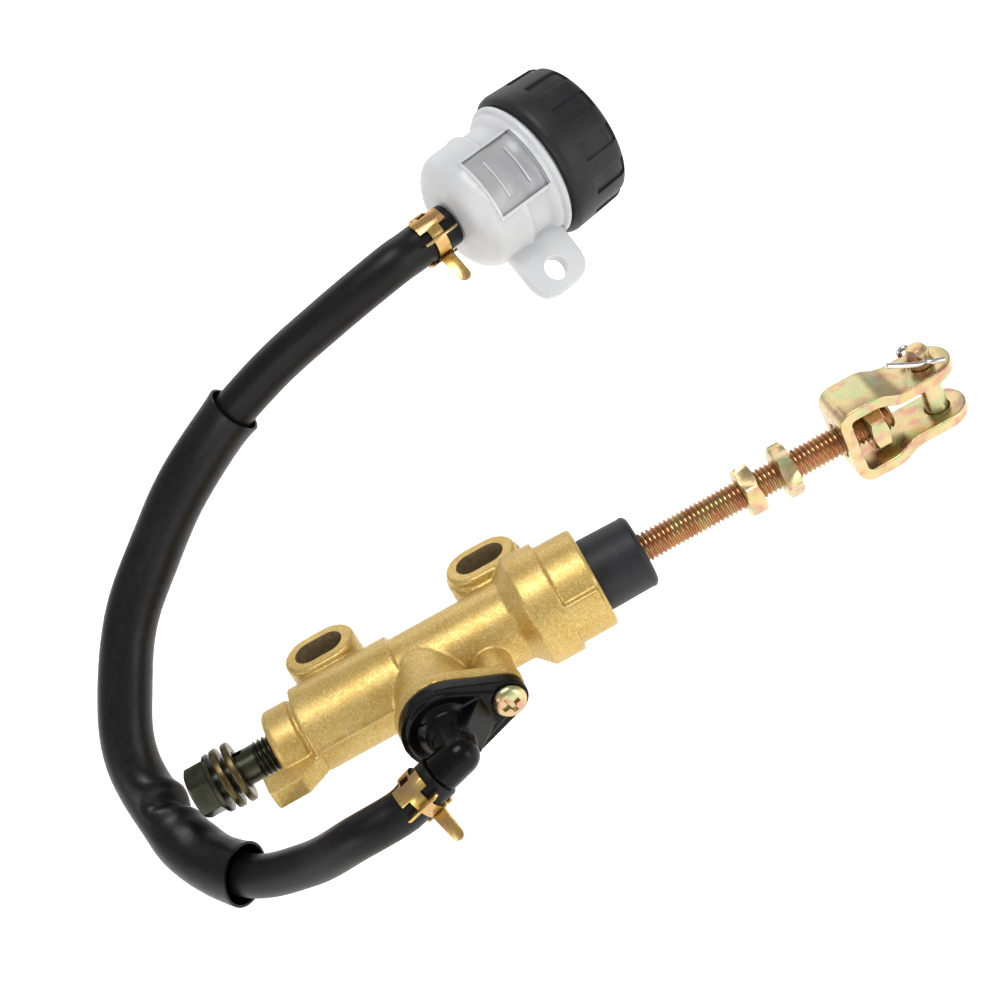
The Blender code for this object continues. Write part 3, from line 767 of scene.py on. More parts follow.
@dataclass
class Shop:
    """Makes each finish once and settles finished pieces in the frame."""

    made: dict[str, bpy.types.Material] = field(default_factory=dict)

    def material(self, finish: Finish) -> bpy.types.Material:
        """Finds a finish's material, which is made the first time it is asked for.

        Args:
            finish: The finish.

        Returns:
            Its material.
        """
        if finish.name not in self.made:
            self.made[finish.name] = finish.build()
        return self.made[finish.name]

    def settle(
        self,
        piece: Thing,
        name: str,
        body: str,
        slot: str,
        finishes: Sequence[Finish],
        replaces: Sequence[str],
        matrix: Matrix | None = None,
    ) -> Thing:
        """Brings a finished piece to its real size and place, dresses it and lets it ride.

        Args:
            piece: The piece, in millimetres.
            name: Its final name.
            body: The body that it rides on.
            slot: The record's slot that its finish comes from. It is not used.
            finishes: Its finishes, in the order of its faces' numbers.
            replaces: The CAD nodes that it stands for.
            matrix: Its place in the frame, in millimetres.

        Returns:
            The same piece.
        """
        move(piece, Matrix.Scale(MM, 4) @ (matrix or Matrix.Identity(4)))
        piece.name = name
        piece.data.name = name
        piece.data.materials.clear()
        for finish in finishes:
            piece.data.materials.append(self.material(finish))
        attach(piece, body)
        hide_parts(*replaces)
        log.info("%s: %d faces on %s", name, len(piece.data.polygons), body)
        return piece

    def dress(self, node: str, finish: Finish) -> None:
        """Gives a CAD node a finish and leaves its mesh alone.

        Args:
            node: The CAD node's name.
            finish: Its finish.
        """
        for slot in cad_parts[node].material_slots:
            slot.material = self.material(finish)
        log.info("%s: dressed", node)


# Places shared by several pieces, in millimetres.

PORT_X = -2.2
PORT_FACE_Y = -22.0
PORT = place((PORT_X, 0.0, 0.0), (0.0, -1.0, 0.0), (1.0, 0.0, 0.0))
SCREW_X = 13.8
SCREW_Z = -1.0
SCREW = place((SCREW_X, 0.0, SCREW_Z), (0.0, -1.0, 0.0), (1.0, 0.0, 0.0))
ELBOW_AXIS_Y = -36.7
SPIGOT_TILT = radians(-19.0)
SPIGOT_DIRECTION = Vector((-cos(SPIGOT_TILT), 0.0, sin(SPIGOT_TILT)))
ELBOW_CENTRE = Vector((PORT_X, ELBOW_AXIS_Y, 0.0))
LOWER_TONGUE = Vector((0.277, -0.523, -0.806))
SPIGOT = place(ELBOW_CENTRE, SPIGOT_DIRECTION, (0.0, 1.0, 0.0))
RESERVOIR_BASE = Vector((57.3, 45.4, 82.2))
RESERVOIR_AXIS = Vector((0.943, 0.330, -0.028)).normalized()
RESERVOIR_EAR = Vector((0.163, -0.538, -0.828))
RESERVOIR = place(RESERVOIR_BASE, RESERVOIR_AXIS, RESERVOIR_EAR)


@dataclass
class Casting:
    """The die cast body with its slotted lugs, port boss and banjo stop."""

    shop: Shop
    nose_end: float = -43.7
    head_end: float = 46.3
    barrel: float = 10.9
    saddle: float = 12.1
    lug_x: float = 23.25
    lug_y: float = 14.3
    lug_top: float = 11.6
    lug_bottom: float = -9.5
    lug_radius: float = 6.9
    lug_straight: float = 2.8
    slot_radius: float = 3.9
    slot_straight: float = 2.7

    def rough(self) -> Thing:
        """Joins the turned barrel and everything that stands on it.

        Returns:
            The casting before it is melted into one skin.
        """
        outer = [(self.nose_end, 0), (self.nose_end, 9.0), (-42.6, 10.1), (-36.4, 10.1)]
        outer += [(-35.9, 9.4), (-35.0, 9.4), (-34.4, self.barrel), (23.8, self.barrel)]
        outer += [(27.8, 15.0), (36.0, 15.0), (36.1, 13.5)]
        outer += [(self.head_end - 0.6, 13.4), (self.head_end, 12.8), (self.head_end, 0)]
        body = turned("casting", outer, 120)
        saddle = prism("saddle", arc((0, 0), self.saddle, 7.1, 172.9, 40), -34.6, -6.8, "X")
        combine(body, saddle, Mix.JOIN)
        pad = [(-8.0, 5.8), (-13.8, 5.8), (-14.7, 2.5), (-15.0, -1.1), (-8.0, -1.1)]
        combine(body, prism("pad", pad, 30.0, self.head_end - 1.0, "X"), Mix.JOIN)
        stop = [(-49.3, -9.0), (-48.7, -15.5), (-47.9, -16.2), (-40.0, -16.2), (-33.5, -12.0), (-33.5, -6.0)]
        stop += [(-43.4, -6.0), (-43.4, -9.0)]
        combine(body, prism("stop", stop, -4.4, 1.3), Mix.JOIN)
        for side in (-1, 1):
            centre = (side * self.lug_x, self.lug_y)
            outline = stadium(centre, self.lug_radius, self.lug_straight)
            lug = prism("lug", outline, self.lug_bottom, self.lug_top)
            bevel(lug, 0.8, 2)
            combine(body, lug, Mix.JOIN)
        foot = stadium((self.lug_x, self.lug_y), self.lug_radius + 0.7, self.lug_straight)
        combine(body, prism("foot", foot, -8.5, 9.2), Mix.JOIN)
        boss = [(3.0, 0), (3.0, 10.0), (13.0, 10.0), (18.9, 11.4), (19.5, 11.4), (19.5, 0)]
        combine(body, turned("boss", boss), Mix.JOIN, PORT)
        combine(body, rod("ear", 8.0, 19.5, 4.9), Mix.JOIN, SCREW)
        flange = teardrop((PORT_X, 0.0), 11.8, (SCREW_X, SCREW_Z), 5.3)
        combine(body, prism("flange", flange, PORT_FACE_Y, PORT_FACE_Y + 3.4, "Y"), Mix.JOIN)
        return body

    def cut(self, body: Thing) -> None:
        """Machines the slots, the bore and the port into the cast skin.

        Args:
            body: The casting.
        """
        for side in (-1, 1):
            centre = (side * self.lug_x, self.lug_y)
            slot = prism("slot", stadium(centre, self.slot_radius, self.slot_straight), -14.0, 16.0)
            combine(body, slot, Mix.CUT)
        bore = [(-50.0, 0), (-50.0, 6.2), (-44.4, 6.2), (-43.0, 5.2), (-25.5, 5.2), (-25.5, 1.0), (-20.0, 1.0)]
        bore += [(-20.0, 7.0), (34.3, 7.0), (34.3, 8.7), (39.6, 8.7), (39.6, 9.9), (50.0, 9.9), (50.0, 0)]
        combine(body, turned("bore", bore, MEDIUM), Mix.CUT)
        port = [(6.0, 0), (6.0, 0.8), (14.0, 0.8), (14.0, 5.8), (24.0, 5.8), (24.0, 0)]
        combine(body, turned("port", port, SMALL), Mix.CUT, PORT)
        combine(body, washer("groove", 20.3, 24.0, 7.0, 9.6, MEDIUM), Mix.CUT, PORT)
        combine(body, rod("tapped", 12.0, 24.0, 2.7, 24), Mix.CUT, SCREW)

    def build(self) -> None:
        """Models, machines and settles the casting."""
        body = self.rough()
        melt(body, 0.40, 4)
        self.cut(body)
        shade(body, 40)
        # The second finish, on the slot and bore walls, is bare metal darkened with painted shade.
        self.shop.settle(body, "cast_body", "body", "gold_paint", [GOLD, BARE_METAL_AND_SHADE], ["cylinder_casting"])
        self.mark_bare_and_shade(body)

    def mark_bare_and_shade(self, body: Thing) -> None:
        """Marks the machined faces, whose darker finish is partly bare metal and partly painted shade, once the
        finishes are in place.

        Args:
            body: The casting, settled in metres.
        """
        scale = 1.0 / MM
        reach = self.slot_radius + 0.06
        marks = []
        for face in body.data.polygons:
            centre = face.center * scale
            off_axis = hypot(centre.y, centre.z)
            across = max(0.0, abs(abs(centre.x) - self.lug_x) - self.slot_straight)
            in_slot = hypot(across, centre.y - self.lug_y) < reach and centre.z < self.lug_top - 0.05
            in_bore = off_axis < 5.5 or (off_axis < 9.95 and -20.0 < centre.x < 46.2)
            marks.append(1 if in_slot or in_bore else 0)
        body.data.polygons.foreach_set("material_index", marks)


@dataclass
class Inlet:
    """The moulded elbow with its flange and spigot, and the screw that holds it."""

    shop: Shop
    thickness: float = 3.4
    radius: float = 4.8
    gap: float = 0.3

    def elbow(self) -> None:
        """Models the elbow as one moulding."""
        back = PORT_FACE_Y - self.gap
        front = back - self.thickness
        plate = teardrop((PORT_X, 0.0), 11.6, (SCREW_X, SCREW_Z), 5.1)
        elbow = prism("elbow", plate, front, back, "Y")
        raised = teardrop((PORT_X, 0.0), 10.2, (SCREW_X - 1.2, SCREW_Z), 3.2)
        combine(elbow, prism("raised", raised, front - 0.7, back - 1.0, "Y"), Mix.JOIN)
        body = [(15.6, 0), (15.6, 5.4), (22.6, 5.4), (22.6, 7.4), (26.6, 7.4), (27.6, 6.2)]
        body += [(30.6, self.radius + 0.6), (-ELBOW_AXIS_Y - 1.0, self.radius)]
        dome = arc((-ELBOW_AXIS_Y, 0.0), self.radius, 90, 0, 12)[1:]
        combine(elbow, turned("column", body + dome), Mix.JOIN, PORT)
        web = [(PORT_X, -27.0), (PORT_X, -33.8), (PORT_X + 4.6, -33.8)]
        web += [(PORT_X + 10.5, -26.6), (PORT_X + 10.5, -25.0)]
        combine(elbow, prism("web", web, -4.6, 4.4), Mix.JOIN)
        arm = [(0, 0), (0, self.radius), (6.7, self.radius), (6.7, 0)]
        combine(elbow, turned("arm", arm), Mix.JOIN, SPIGOT)
        melt(elbow, 0.27, 5)
        spigot = [(2.0, 0), (2.0, 3.0), (19.4, 3.0), (20.0, 2.6), (20.0, 0)]
        combine(elbow, turned("spigot", spigot, MEDIUM), Mix.JOIN, SPIGOT)
        combine(elbow, block("rib", (-7.6, -27.2, 5.4), (-2.4, -26.0, 5.75)), Mix.JOIN)
        combine(elbow, rod("way", 10.0, -ELBOW_AXIS_Y, 2.0, 24), Mix.CUT, PORT)
        combine(elbow, rod("spigot_way", 0.1, 21.0, 1.8, 24), Mix.CUT, SPIGOT)
        seat = [(15.0, 0), (15.0, 2.7), (25.7, 2.7), (25.71, 4.7), (40.0, 4.7), (40.0, 0)]
        combine(elbow, turned("screw_way", seat, SMALL), Mix.CUT, SCREW)
        shade(elbow, 40)
        self.shop.settle(elbow, "moulded_elbow", "body", "gloss_black_plastic", [GLOSS_BLACK], ["inlet_elbow"])

    def screw(self) -> None:
        """Models the pan head screw with its cross recess."""
        seat = -(PORT_FACE_Y - self.gap - self.thickness) + self.gap
        shape = [(13.0, 0), (13.0, 1.8), (13.6, 2.4), (seat, 2.4), (seat, 4.25), (seat + 0.5, 4.35)]
        shape += [(seat + 1.2, 4.1), (seat + 1.9, 3.2), (seat + 2.25, 1.9), (seat + 2.35, 0)]
        screw = turned("screw", shape, MEDIUM)
        for turn in (12, 102):
            slot = block("recess", (seat + 0.9, -2.4, -0.62), (seat + 4.0, 2.4, 0.62))
            combine(screw, slot, Mix.CUT, Matrix.Rotation(radians(turn), 4, "X"))
        well = [(seat + 0.6, 0), (seat + 0.9, 0.9), (seat + 4.0, 1.7), (seat + 4.0, 0)]
        combine(screw, turned("well", well, 24), Mix.CUT)
        bevel(screw, 0.10, 2, 40)
        shade(screw, 40)
        self.shop.settle(screw, "pan_head_screw", "body", "yellow_zinc", [YELLOW_ZINC], ["elbow_screw"], SCREW)

    def build(self) -> None:
        """Builds the elbow and its screw and dresses the seal under it."""
        self.elbow()
        self.screw()
        self.shop.dress("elbow_o_ring", HOSE_RUBBER)


@dataclass
class PushRod:
    """The rod with its ball end, its boot and its three nuts."""

    shop: Shop
    radius: float = 3.95
    pitch: float = 1.25
    nut_width: float = 12.7

    def rod(self) -> None:
        """Models the threaded rod."""
        screw = thread("rod_thread", 50.0, 130.6, self.radius, self.pitch, 0.68, 36)
        tip = [(49.0, 0), (49.0, 6.0), (129.7, 6.0), (129.7, 4.0), (130.6, 3.1), (130.6, 0)]
        combine(screw, turned("tip", tip, SMALL), Mix.COMMON)
        ball = [(28.9, 0), (29.1, 1.0), (29.6, 1.9), (30.4, 2.6), (31.4, 2.9), (32.5, 2.9), (32.5, 5.4)]
        ball += [(33.9, 5.4), (33.9, 3.2), (49.4, 3.2), (50.2, 3.0), (50.2, 0)]
        shank = turned("ball_end", ball, MEDIUM)
        bevel(shank, 0.2, 2, 40)
        whole = merge("rod", [screw, shank])
        shade(whole, 30)
        self.shop.settle(whole, "threaded_push_rod", "rod", "copper_zinc", [COPPER_ZINC], ["push_rod"])

    def boot(self) -> None:
        """Models the rubber boot with its rolled edge. Its lip leaves room for the rod to lean."""
        shape = [(40.0, 7.5), (40.0, 9.6), (46.3, 9.62), (47.0, 9.75), (58.0, 9.55)]
        shape += arc((58.4, 7.9), 1.8, 80, 0, 7)
        shape += [(60.2, 5.4), (59.9, 5.15), (58.9, 5.15), (58.7, 5.4), (58.7, 7.3), (40.0, 7.5)]
        boot = turned("boot", shape)
        shade(boot, 40)
        self.shop.settle(boot, "rubber_boot", "body", "boot_rubber", [BOOT_RUBBER], ["dust_boot"])

    def nut(self, name: str, node: str, body: str, low: float, thickness: float, turn: float) -> None:
        """Models one chamfered hexagon nut.

        Args:
            name: Its name.
            node: The CAD node that it stands for.
            body: The body that it rides on.
            low: Where it starts along X.
            thickness: How thick it is.
            turn: How far it is turned about X, in degrees.
        """
        deselect()
        corner = self.nut_width / 2 / cos(radians(30))
        bpy.ops.mesh.primitive_cylinder_add(vertices=6, radius=corner, depth=thickness, location=(0, 0, 0))
        nut = bpy.context.object
        lay = Matrix.Translation((low + thickness / 2, 0, 0)) @ Matrix.Rotation(radians(turn), 4, "X")
        move(nut, lay @ Matrix.Rotation(radians(90), 4, "Y"))
        edge = self.nut_width / 2 - 0.15
        high = low + thickness
        rounding = [(low, 0), (low, edge), (low + 0.75, corner + 0.1)]
        rounding += [(high - 0.75, corner + 0.1), (high, edge), (high, 0)]
        combine(nut, turned("rounding", rounding), Mix.COMMON)
        hole = [(low - 1, 0), (low - 1, 5.4), (low + 0.45, 4.02)]
        hole += [(high - 0.45, 4.02), (high + 1, 5.4), (high + 1, 0)]
        combine(nut, turned("hole", hole, MEDIUM), Mix.CUT)
        bevel(nut, 0.13, 2, 25)
        shade(nut, 30)
        self.shop.settle(nut, name, body, "yellow_zinc", [YELLOW_ZINC], [node])

    def build(self) -> None:
        """Builds the rod, boot and nuts."""
        self.rod()
        self.boot()
        self.nut("inner_lock_nut", "lock_nut_inner", "inner_nut", 88.5, 4.4, 25.0)
        self.nut("outer_lock_nut", "lock_nut_outer", "outer_nut", 98.8, 4.4, 5.0)
        self.nut("captive_clevis_nut", "clevis_nut", "clevis_seat", 123.3, 4.6, 30.0)


@dataclass
class Clevis:
    """The stamped U strap, its headed pin and the split pin through it."""

    shop: Shop
    web: float = 116.3
    thick: float = 3.0
    half_width: float = 7.25
    half_wide: float = 10.9
    half_narrow: float = 8.4
    pin_x: float = 142.6
    pin_radius: float = 2.9

    def outline(self) -> list[Pair]:
        """The strap's side view, with its bends and steps rounded.

        Returns:
            Pairs of place along X and height.
        """
        tip = self.pin_x + self.half_width + 1.0
        bend = 4.2
        outer = arc((self.web + bend, self.half_wide - bend), bend, 180, 90, 10)
        outer += [(126.6, 10.9), (128.2, 10.72), (129.6, 10.25), (132.0, 9.02), (133.4, 8.58)]
        outer += [(135.0, 8.4), (tip, 8.4)]
        inner = [(tip, 5.4), (134.4, 5.4), (132.6, 5.6), (131.0, 6.1), (128.4, 7.42)]
        inner += [(127.0, 7.82), (125.6, 7.9)]
        inner += arc((self.web + self.thick + 1.4, self.half_wide - self.thick - 1.4), 1.4, 90, 180, 5)
        half = outer + inner
        return half + [(along, -height) for along, height in reversed(half)]

    def strap(self) -> None:
        """Models the strap."""
        strap = prism("strap", self.outline(), -self.half_width, self.half_width, "Y")
        ear = arc((self.pin_x, 0.0), self.half_width + 0.005, -90, 90, 32)
        ear += [(self.web - 1, self.half_width + 1), (self.web - 1, -self.half_width - 1)]
        combine(strap, prism("ear", ear, -12, 12), Mix.COMMON)
        combine(strap, rod("rod_hole", self.web - 1, self.web + 5, 4.8, SMALL), Mix.CUT)
        upright = place((self.pin_x, 0, 0), (0, 0, 1), (1, 0, 0))
        combine(strap, rod("pin_hole", -12, 12, self.pin_radius + 0.3, SMALL), Mix.CUT, upright)
        bevel(strap, 0.38, 3, 50)
        shade(strap, 35)
        self.shop.settle(strap, "stamped_clevis", "clevis", "yellow_zinc", [YELLOW_ZINC], ["clevis"])

    def pin(self) -> None:
        """Models the headed pin with its cross hole."""
        under = -self.half_narrow - 0.3
        shape = [(under - 2.6, 0), (under - 2.5, 1.6), (under - 2.0, 3.2), (under - 1.2, 4.3)]
        shape += [(under - 0.4, 4.8), (under, 4.8), (under, 2.85), (12.7, 2.85), (13.8, 2.0), (13.8, 0)]
        pin = turned("pin", shape, MEDIUM)
        bevel(pin, 0.12, 2, 40)
        cross = place((10.9, 0, 0), (0, 1, 0), (1, 0, 0))
        combine(pin, rod("cotter_hole", -6, 6, 1.05, 24), Mix.CUT, cross)
        shade(pin, 35)
        upright = place((self.pin_x, 0, 0), (0, 0, 1), (1, 0, 0))
        self.shop.settle(pin, "headed_pin", "pin", "yellow_zinc", [YELLOW_ZINC], ["clevis_pin"], upright)

    def cotter(self) -> None:
        """Models the split pin, with its eye behind and its bent legs in front."""
        left = [(-9.4, -4.6, 5.2), (-5.6, -4.5, 2.9), (-2.2, -4.2, 0.9), (-0.6, -3.8, 0.2)]
        left += [(-0.15, -2.8, 0), (-0.15, 3.2, 0)]
        eye = [(across, back, 0.0) for across, back in arc((-1.6, 4.6), 1.6, -40, 200, 8)]
        right = [(0.2, -1.0, 0), (0.2, -2.6, 0), (0.5, -3.5, -0.1), (1.6, -4.4, -0.4), (4.6, -4.6, -1.4)]
        long_leg = tube("long_leg", smooth_route([Vector(p) for p in left + eye], 0.5), 0.72, 16, True)
        short_leg = tube("short_leg", smooth_route([Vector(p) for p in right], 0.5), 0.66, 16, True)
        for leg in (long_leg, short_leg):
            bevel(leg, 0.15, 2, 50)
        whole = merge("cotter", [long_leg, short_leg])
        shade(whole, 40)
        at_hole = Matrix.Translation((self.pin_x, 0.0, 10.9))
        self.shop.settle(whole, "split_pin", "pin", "bright_steel", [BRIGHT_STEEL], ["cotter_pin"], at_hole)

    def build(self) -> None:
        """Builds the strap and its pins."""
        self.strap()
        self.pin()
        self.cotter()


@dataclass
class Banjo:
    """The banjo bolt, partly screwed in, and its two loose washers."""

    shop: Shop
    seat: float = -60.2
    radius: float = 5.0

    def bolt(self) -> None:
        """Models the bolt with its hexagon, collar, shank, thread and fluid way."""
        deselect()
        corner = 12.6 / 2 / cos(radians(30))
        low, high = self.seat - 7.2, self.seat - 1.2
        bpy.ops.mesh.primitive_cylinder_add(vertices=6, radius=corner, depth=high - low, location=(0, 0, 0))
        bolt = bpy.context.object
        lay = Matrix.Translation(((low + high) / 2, 0, 0)) @ Matrix.Rotation(radians(12), 4, "X")
        move(bolt, lay @ Matrix.Rotation(radians(90), 4, "Y"))
        rounding = [(low, 0), (low, 5.9), (low + 0.9, corner + 0.1), (high, corner + 0.1), (high, 0)]
        combine(bolt, turned("rounding", rounding), Mix.COMMON)
        bevel(bolt, 0.25, 2, 25)
        collar = [(self.seat - 1.6, 0), (self.seat - 1.6, 7.2), (self.seat - 1.1, 7.9), (self.seat - 0.2, 8.0)]
        collar += [(self.seat, 7.8), (self.seat, 4.6), (-49.0, 4.6), (-48.4, 4.2), (-47.6, 4.2), (-47.6, 0)]
        combine(bolt, turned("collar", collar), Mix.JOIN)
        across = place((-53.0, 0.0, 0.0), (0.0, 0.3, 1.0), (1.0, 0.0, 0.0))
        combine(bolt, rod("cross_way", -8.0, 8.0, 1.4, 24), Mix.CUT, across)
        screw = thread("bolt_thread", -49.2, -37.2, self.radius, 1.25, 0.68, 40)
        whole = merge("banjo", [bolt, screw])
        shade(whole, 30)
        self.shop.settle(whole, "hex_banjo_bolt", "bolt", "dark_steel", [OLIVE_STEEL], ["banjo_bolt"])

    def washer(self, name: str, node: str, body: str, low: float, lean: float) -> None:
        """Models one sealing washer with rounded edges, hung a little askew on the shank.

        Args:
            name: Its name.
            node: The CAD node that it stands for.
            body: The body that it rides on.
            low: Where it starts along X.
            lean: How far it leans, in degrees.
        """
        ring = washer("washer", low - 0.2, low + 1.7, 5.2, 8.2)
        bevel(ring, 0.45, 4, 40)
        shade(ring, 50)
        middle = Matrix.Translation((low + 0.75, 0, 0))
        hang = middle @ Matrix.Rotation(radians(lean), 4, "Z") @ Matrix.Translation((-low - 0.75, 0, 0))
        self.shop.settle(ring, name, body, "bronze_washer", [BRONZE], [node], hang)

    def build(self) -> None:
        """Builds the bolt and its washers."""
        self.bolt()
        self.washer("outer_crush_washer", "outer_sealing_washer", "bolt_travel", -58.9, 4.0)
        self.washer("inner_crush_washer", "inner_sealing_washer", "inner_washer", -55.7, 4.0)


@dataclass
class HoseLine:
    """The supply hose, its loose sleeve and the two band clamps."""

    shop: Shop
    hose_radius: float = 5.5
    sleeve_radius: float = 7.0
    # The shares of the hose's length where the sleeve starts and ends.
    covered: Pair = (0.237, 0.743)
    front: Vector = field(default_factory=lambda: Vector((0, -0.839, 0.545)))
    # Each fold's distance along the sleeve, its width, its depth, and its reach round the front.
    folds: tuple[tuple[float, float, float, float], ...] = (
        (27.5, 1.7, 3.2, 0.35),
        (32.5, 2.6, -1.5, 0.30),
        (21.0, 3.0, 0.5, 0.60),
        (12.0, 4.0, 0.4, 0.70),
        (55.0, 9.0, 0.5, 0.50),
        (84.0, 12.0, 0.4, 0.60),
    )

    def bench(self, along: float, up: float, toward: float) -> Vector:
        """A point of the laid out line: along the bore, up the bench and above it."""
        lean = radians(57.0)
        return Vector((along, up * cos(lean) - toward * sin(lean), up * sin(lean) + toward * cos(lean)))

    def route(self, spacing: float) -> list[Vector]:
        """Finds the line from one spigot to the other.

        Args:
            spacing: The distance between its points.

        Returns:
            The line's points.
        """
        points = [ELBOW_CENTRE + SPIGOT_DIRECTION * reach for reach in (7.0, 14.0, 20.0)]
        shaped = [(-33.2, -26.0, 25.0), (-48.5, -27.3, 13.0), (-66.1, -23.6, -1.0), (-77.1, -9.0, -10.0)]
        shaped += [(-80.3, 11.9, -14.0), (-73.4, 31.4, -15.0), (-61.7, 47.9, -15.0), (-45.2, 62.3, -13.0)]
        shaped += [(-23.6, 75.8, -8.0), (-1.4, 83.5, 0.0), (19.5, 87.5, 8.0)]
        points += [self.bench(*spot) for spot in shaped]
        points += [RESERVOIR_BASE - RESERVOIR_AXIS * reach for reach in (20.0, 14.0, 7.0, 0.3)]
        return smooth_route(points, spacing)

    def hose(self) -> None:
        """Models the hose with a real wall."""
        hose = tube("hose", self.route(2.0), self.hose_radius, 40, False)
        modify(hose, "SOLIDIFY", thickness=1.9, offset=-1.0, use_even_offset=True)
        bevel(hose, 0.3, 2, 60)
        shade(hose, 50)
        self.shop.settle(hose, "rubber_hose", "body", "black_rubber", [HOSE_RUBBER], ["supply_hose"])

    def sleeve(self) -> None:
        """Models the loose sleeve: flared at its ends, a little flat, and kinked where the hose turns."""
        route = self.route(1.0)
        route = route[int(len(route) * self.covered[0]) : int(len(route) * self.covered[1])]
        sleeve = tube("sleeve", route, self.sleeve_radius, 56, False)
        count = len(route)
        ring = len(sleeve.data.vertices) // count
        for index, vertex in enumerate(sleeve.data.vertices):
            nearby = range(max(0, index // ring - 2), min(count, index // ring + 3))
            nearest = min(nearby, key=lambda k: (route[k] - vertex.co).length)
            vertex.co += self.slack(route, nearest, vertex.co - route[nearest])
        modify(sleeve, "SOLIDIFY", thickness=0.8, offset=-1.0)
        modify(sleeve, "SMOOTH", factor=0.4, iterations=2)
        shade(sleeve, 60)
        self.shop.settle(sleeve, "loose_sleeve", "body", "soft_sleeve", [SLEEVE_VINYL], ["hose_sleeve"])

    def slack(self, route: Sequence[Vector], index: int, arm: Vector) -> Vector:
        """How far one point of the sleeve moves from a plain tube.

        Args:
            route: The sleeve's own line.
            index: The point of the line beside it.
            arm: From the line to the point.

        Returns:
            The move.
        """
        last = len(route) - 1
        ahead = (route[min(index + 1, last)] - route[max(index - 1, 0)]).normalized()
        out = arm.normalized()
        side = out.dot(ahead.cross(self.front).normalized())
        front = out.dot(self.front)
        flare = 0.5 * exp(-index / 4.0) + 0.45 * exp(-(last - index) / 3.0)
        loose = 0.9 / (1.0 + exp((index - 25.0) / 1.8))
        sag = 0.28 * sin(index * 0.11 + 1.1) * front + 0.18 * sin(index * 0.19 + 2.0 * side)
        oval = 0.35 * side * side
        folds = 0.0
        for spot, width, depth, reach in self.folds:
            share = max(0.0, 0.8 * side + reach * front)
            folds += depth * share * exp(-(((index - spot - 5.0 * front) / width) ** 2))
        return out * (flare + loose + sag + oval - folds - 0.25)

    def hoop(
        self, name: str, half: float, inner: float, start: float, stop: float, thick: float = 0.62
    ) -> Thing:
        """Bends a flat strip round the hose.

        Args:
            name: The strip's name.
            half: Half of its width.
            inner: Its inner radius.
            start: The angle where it starts, in degrees from the tongue towards the front.
            stop: The angle where it ends.
            thick: Its thickness.

        Returns:
            The bent strip.
        """
        outer = inner + thick
        corners = [(-half, inner, 0), (half, inner, 0), (half, outer, 0), (-half, outer, 0)]
        strip = draw_line(name, [*corners, corners[0]])
        with editing(strip):
            bpy.ops.transform.rotate(value=-radians(start), orient_axis="X", center_override=(0, 0, 0))
        with editing(strip):
            bpy.ops.mesh.edge_face_add()
            bpy.ops.mesh.spin(steps=36, angle=radians(stop - start), center=(0, 0, 0), axis=(1, 0, 0))
        tidy_shell(strip)
        return strip

    def clamp(self, name: str, node: str, matrix: Matrix) -> None:
        """Models one sprung band clamp: a band with two wide slotted ends, an ear on edge and a tongue.

        Args:
            name: Its name.
            node: The CAD node that it stands for.
            matrix: Its place in the frame, with the hose along its X and the tongue along its Y.
        """
        inner = self.hose_radius + 0.12
        band = self.hoop("band", 1.75, inner, 8.0, 352.0)
        top_end = self.hoop("top_end", 4.0, inner + 0.10, 142.0, 186.0, 0.72)
        low_end = self.hoop("low_end", 3.8, inner + 0.10, 0.0, 70.0, 0.72)
        for strip in (band, top_end):
            combine(strip, self.hoop("slot", 1.3, inner - 1.0, 156.0, 176.0, 4.0), Mix.CUT)
        notch = self.hoop("notch", 0.35, inner - 1.0, 22.0, 58.0, 4.0)
        for across in (-2.3, 2.3):
            cut = notch.copy()
            cut.data = notch.data.copy()
            bpy.context.scene.collection.objects.link(cut)
            combine(low_end, cut, Mix.CUT, Matrix.Translation((across, 0, 0)))
        bpy.data.objects.remove(notch, do_unlink=True)
        outline = [(-4.9, inner + 0.2), (4.9, inner + 0.2), (4.9, inner + 2.6)]
        outline += [(3.9, inner + 3.4), (-3.9, inner + 3.4), (-4.9, inner + 2.6)]
        ear = prism("ear", outline, -0.3, 0.3)
        move(ear, Matrix.Rotation(radians(74.0), 4, "X"))
        tip = arc((0.0, inner + 7.4), 1.6, 0, 180, 10)
        tongue = prism("tongue", [(-1.9, inner + 0.1), (1.9, inner + 0.1), *tip], -0.35, 0.35)
        move(tongue, Matrix.Rotation(radians(14.0), 4, "X"))
        parts = [band, top_end, low_end, ear, tongue]
        for part in parts:
            bevel(part, 0.13, 2, 40)
        whole = merge("clamp", parts)
        shade(whole, 40)
        self.shop.settle(whole, name, "body", "yellow_zinc", [CLAMP_ZINC], [node], matrix)

    def build(self) -> None:
        """Builds the hose line."""
        self.hose()
        self.sleeve()
        lower = place(ELBOW_CENTRE + SPIGOT_DIRECTION * 13.0, SPIGOT_DIRECTION, LOWER_TONGUE)
        self.clamp("lower_band_clamp", "lower_hose_clamp", lower)
        upper = place(RESERVOIR_BASE - RESERVOIR_AXIS * 6.6, -RESERVOIR_AXIS, RESERVOIR_EAR)
        self.clamp("upper_band_clamp", "upper_hose_clamp", upper)


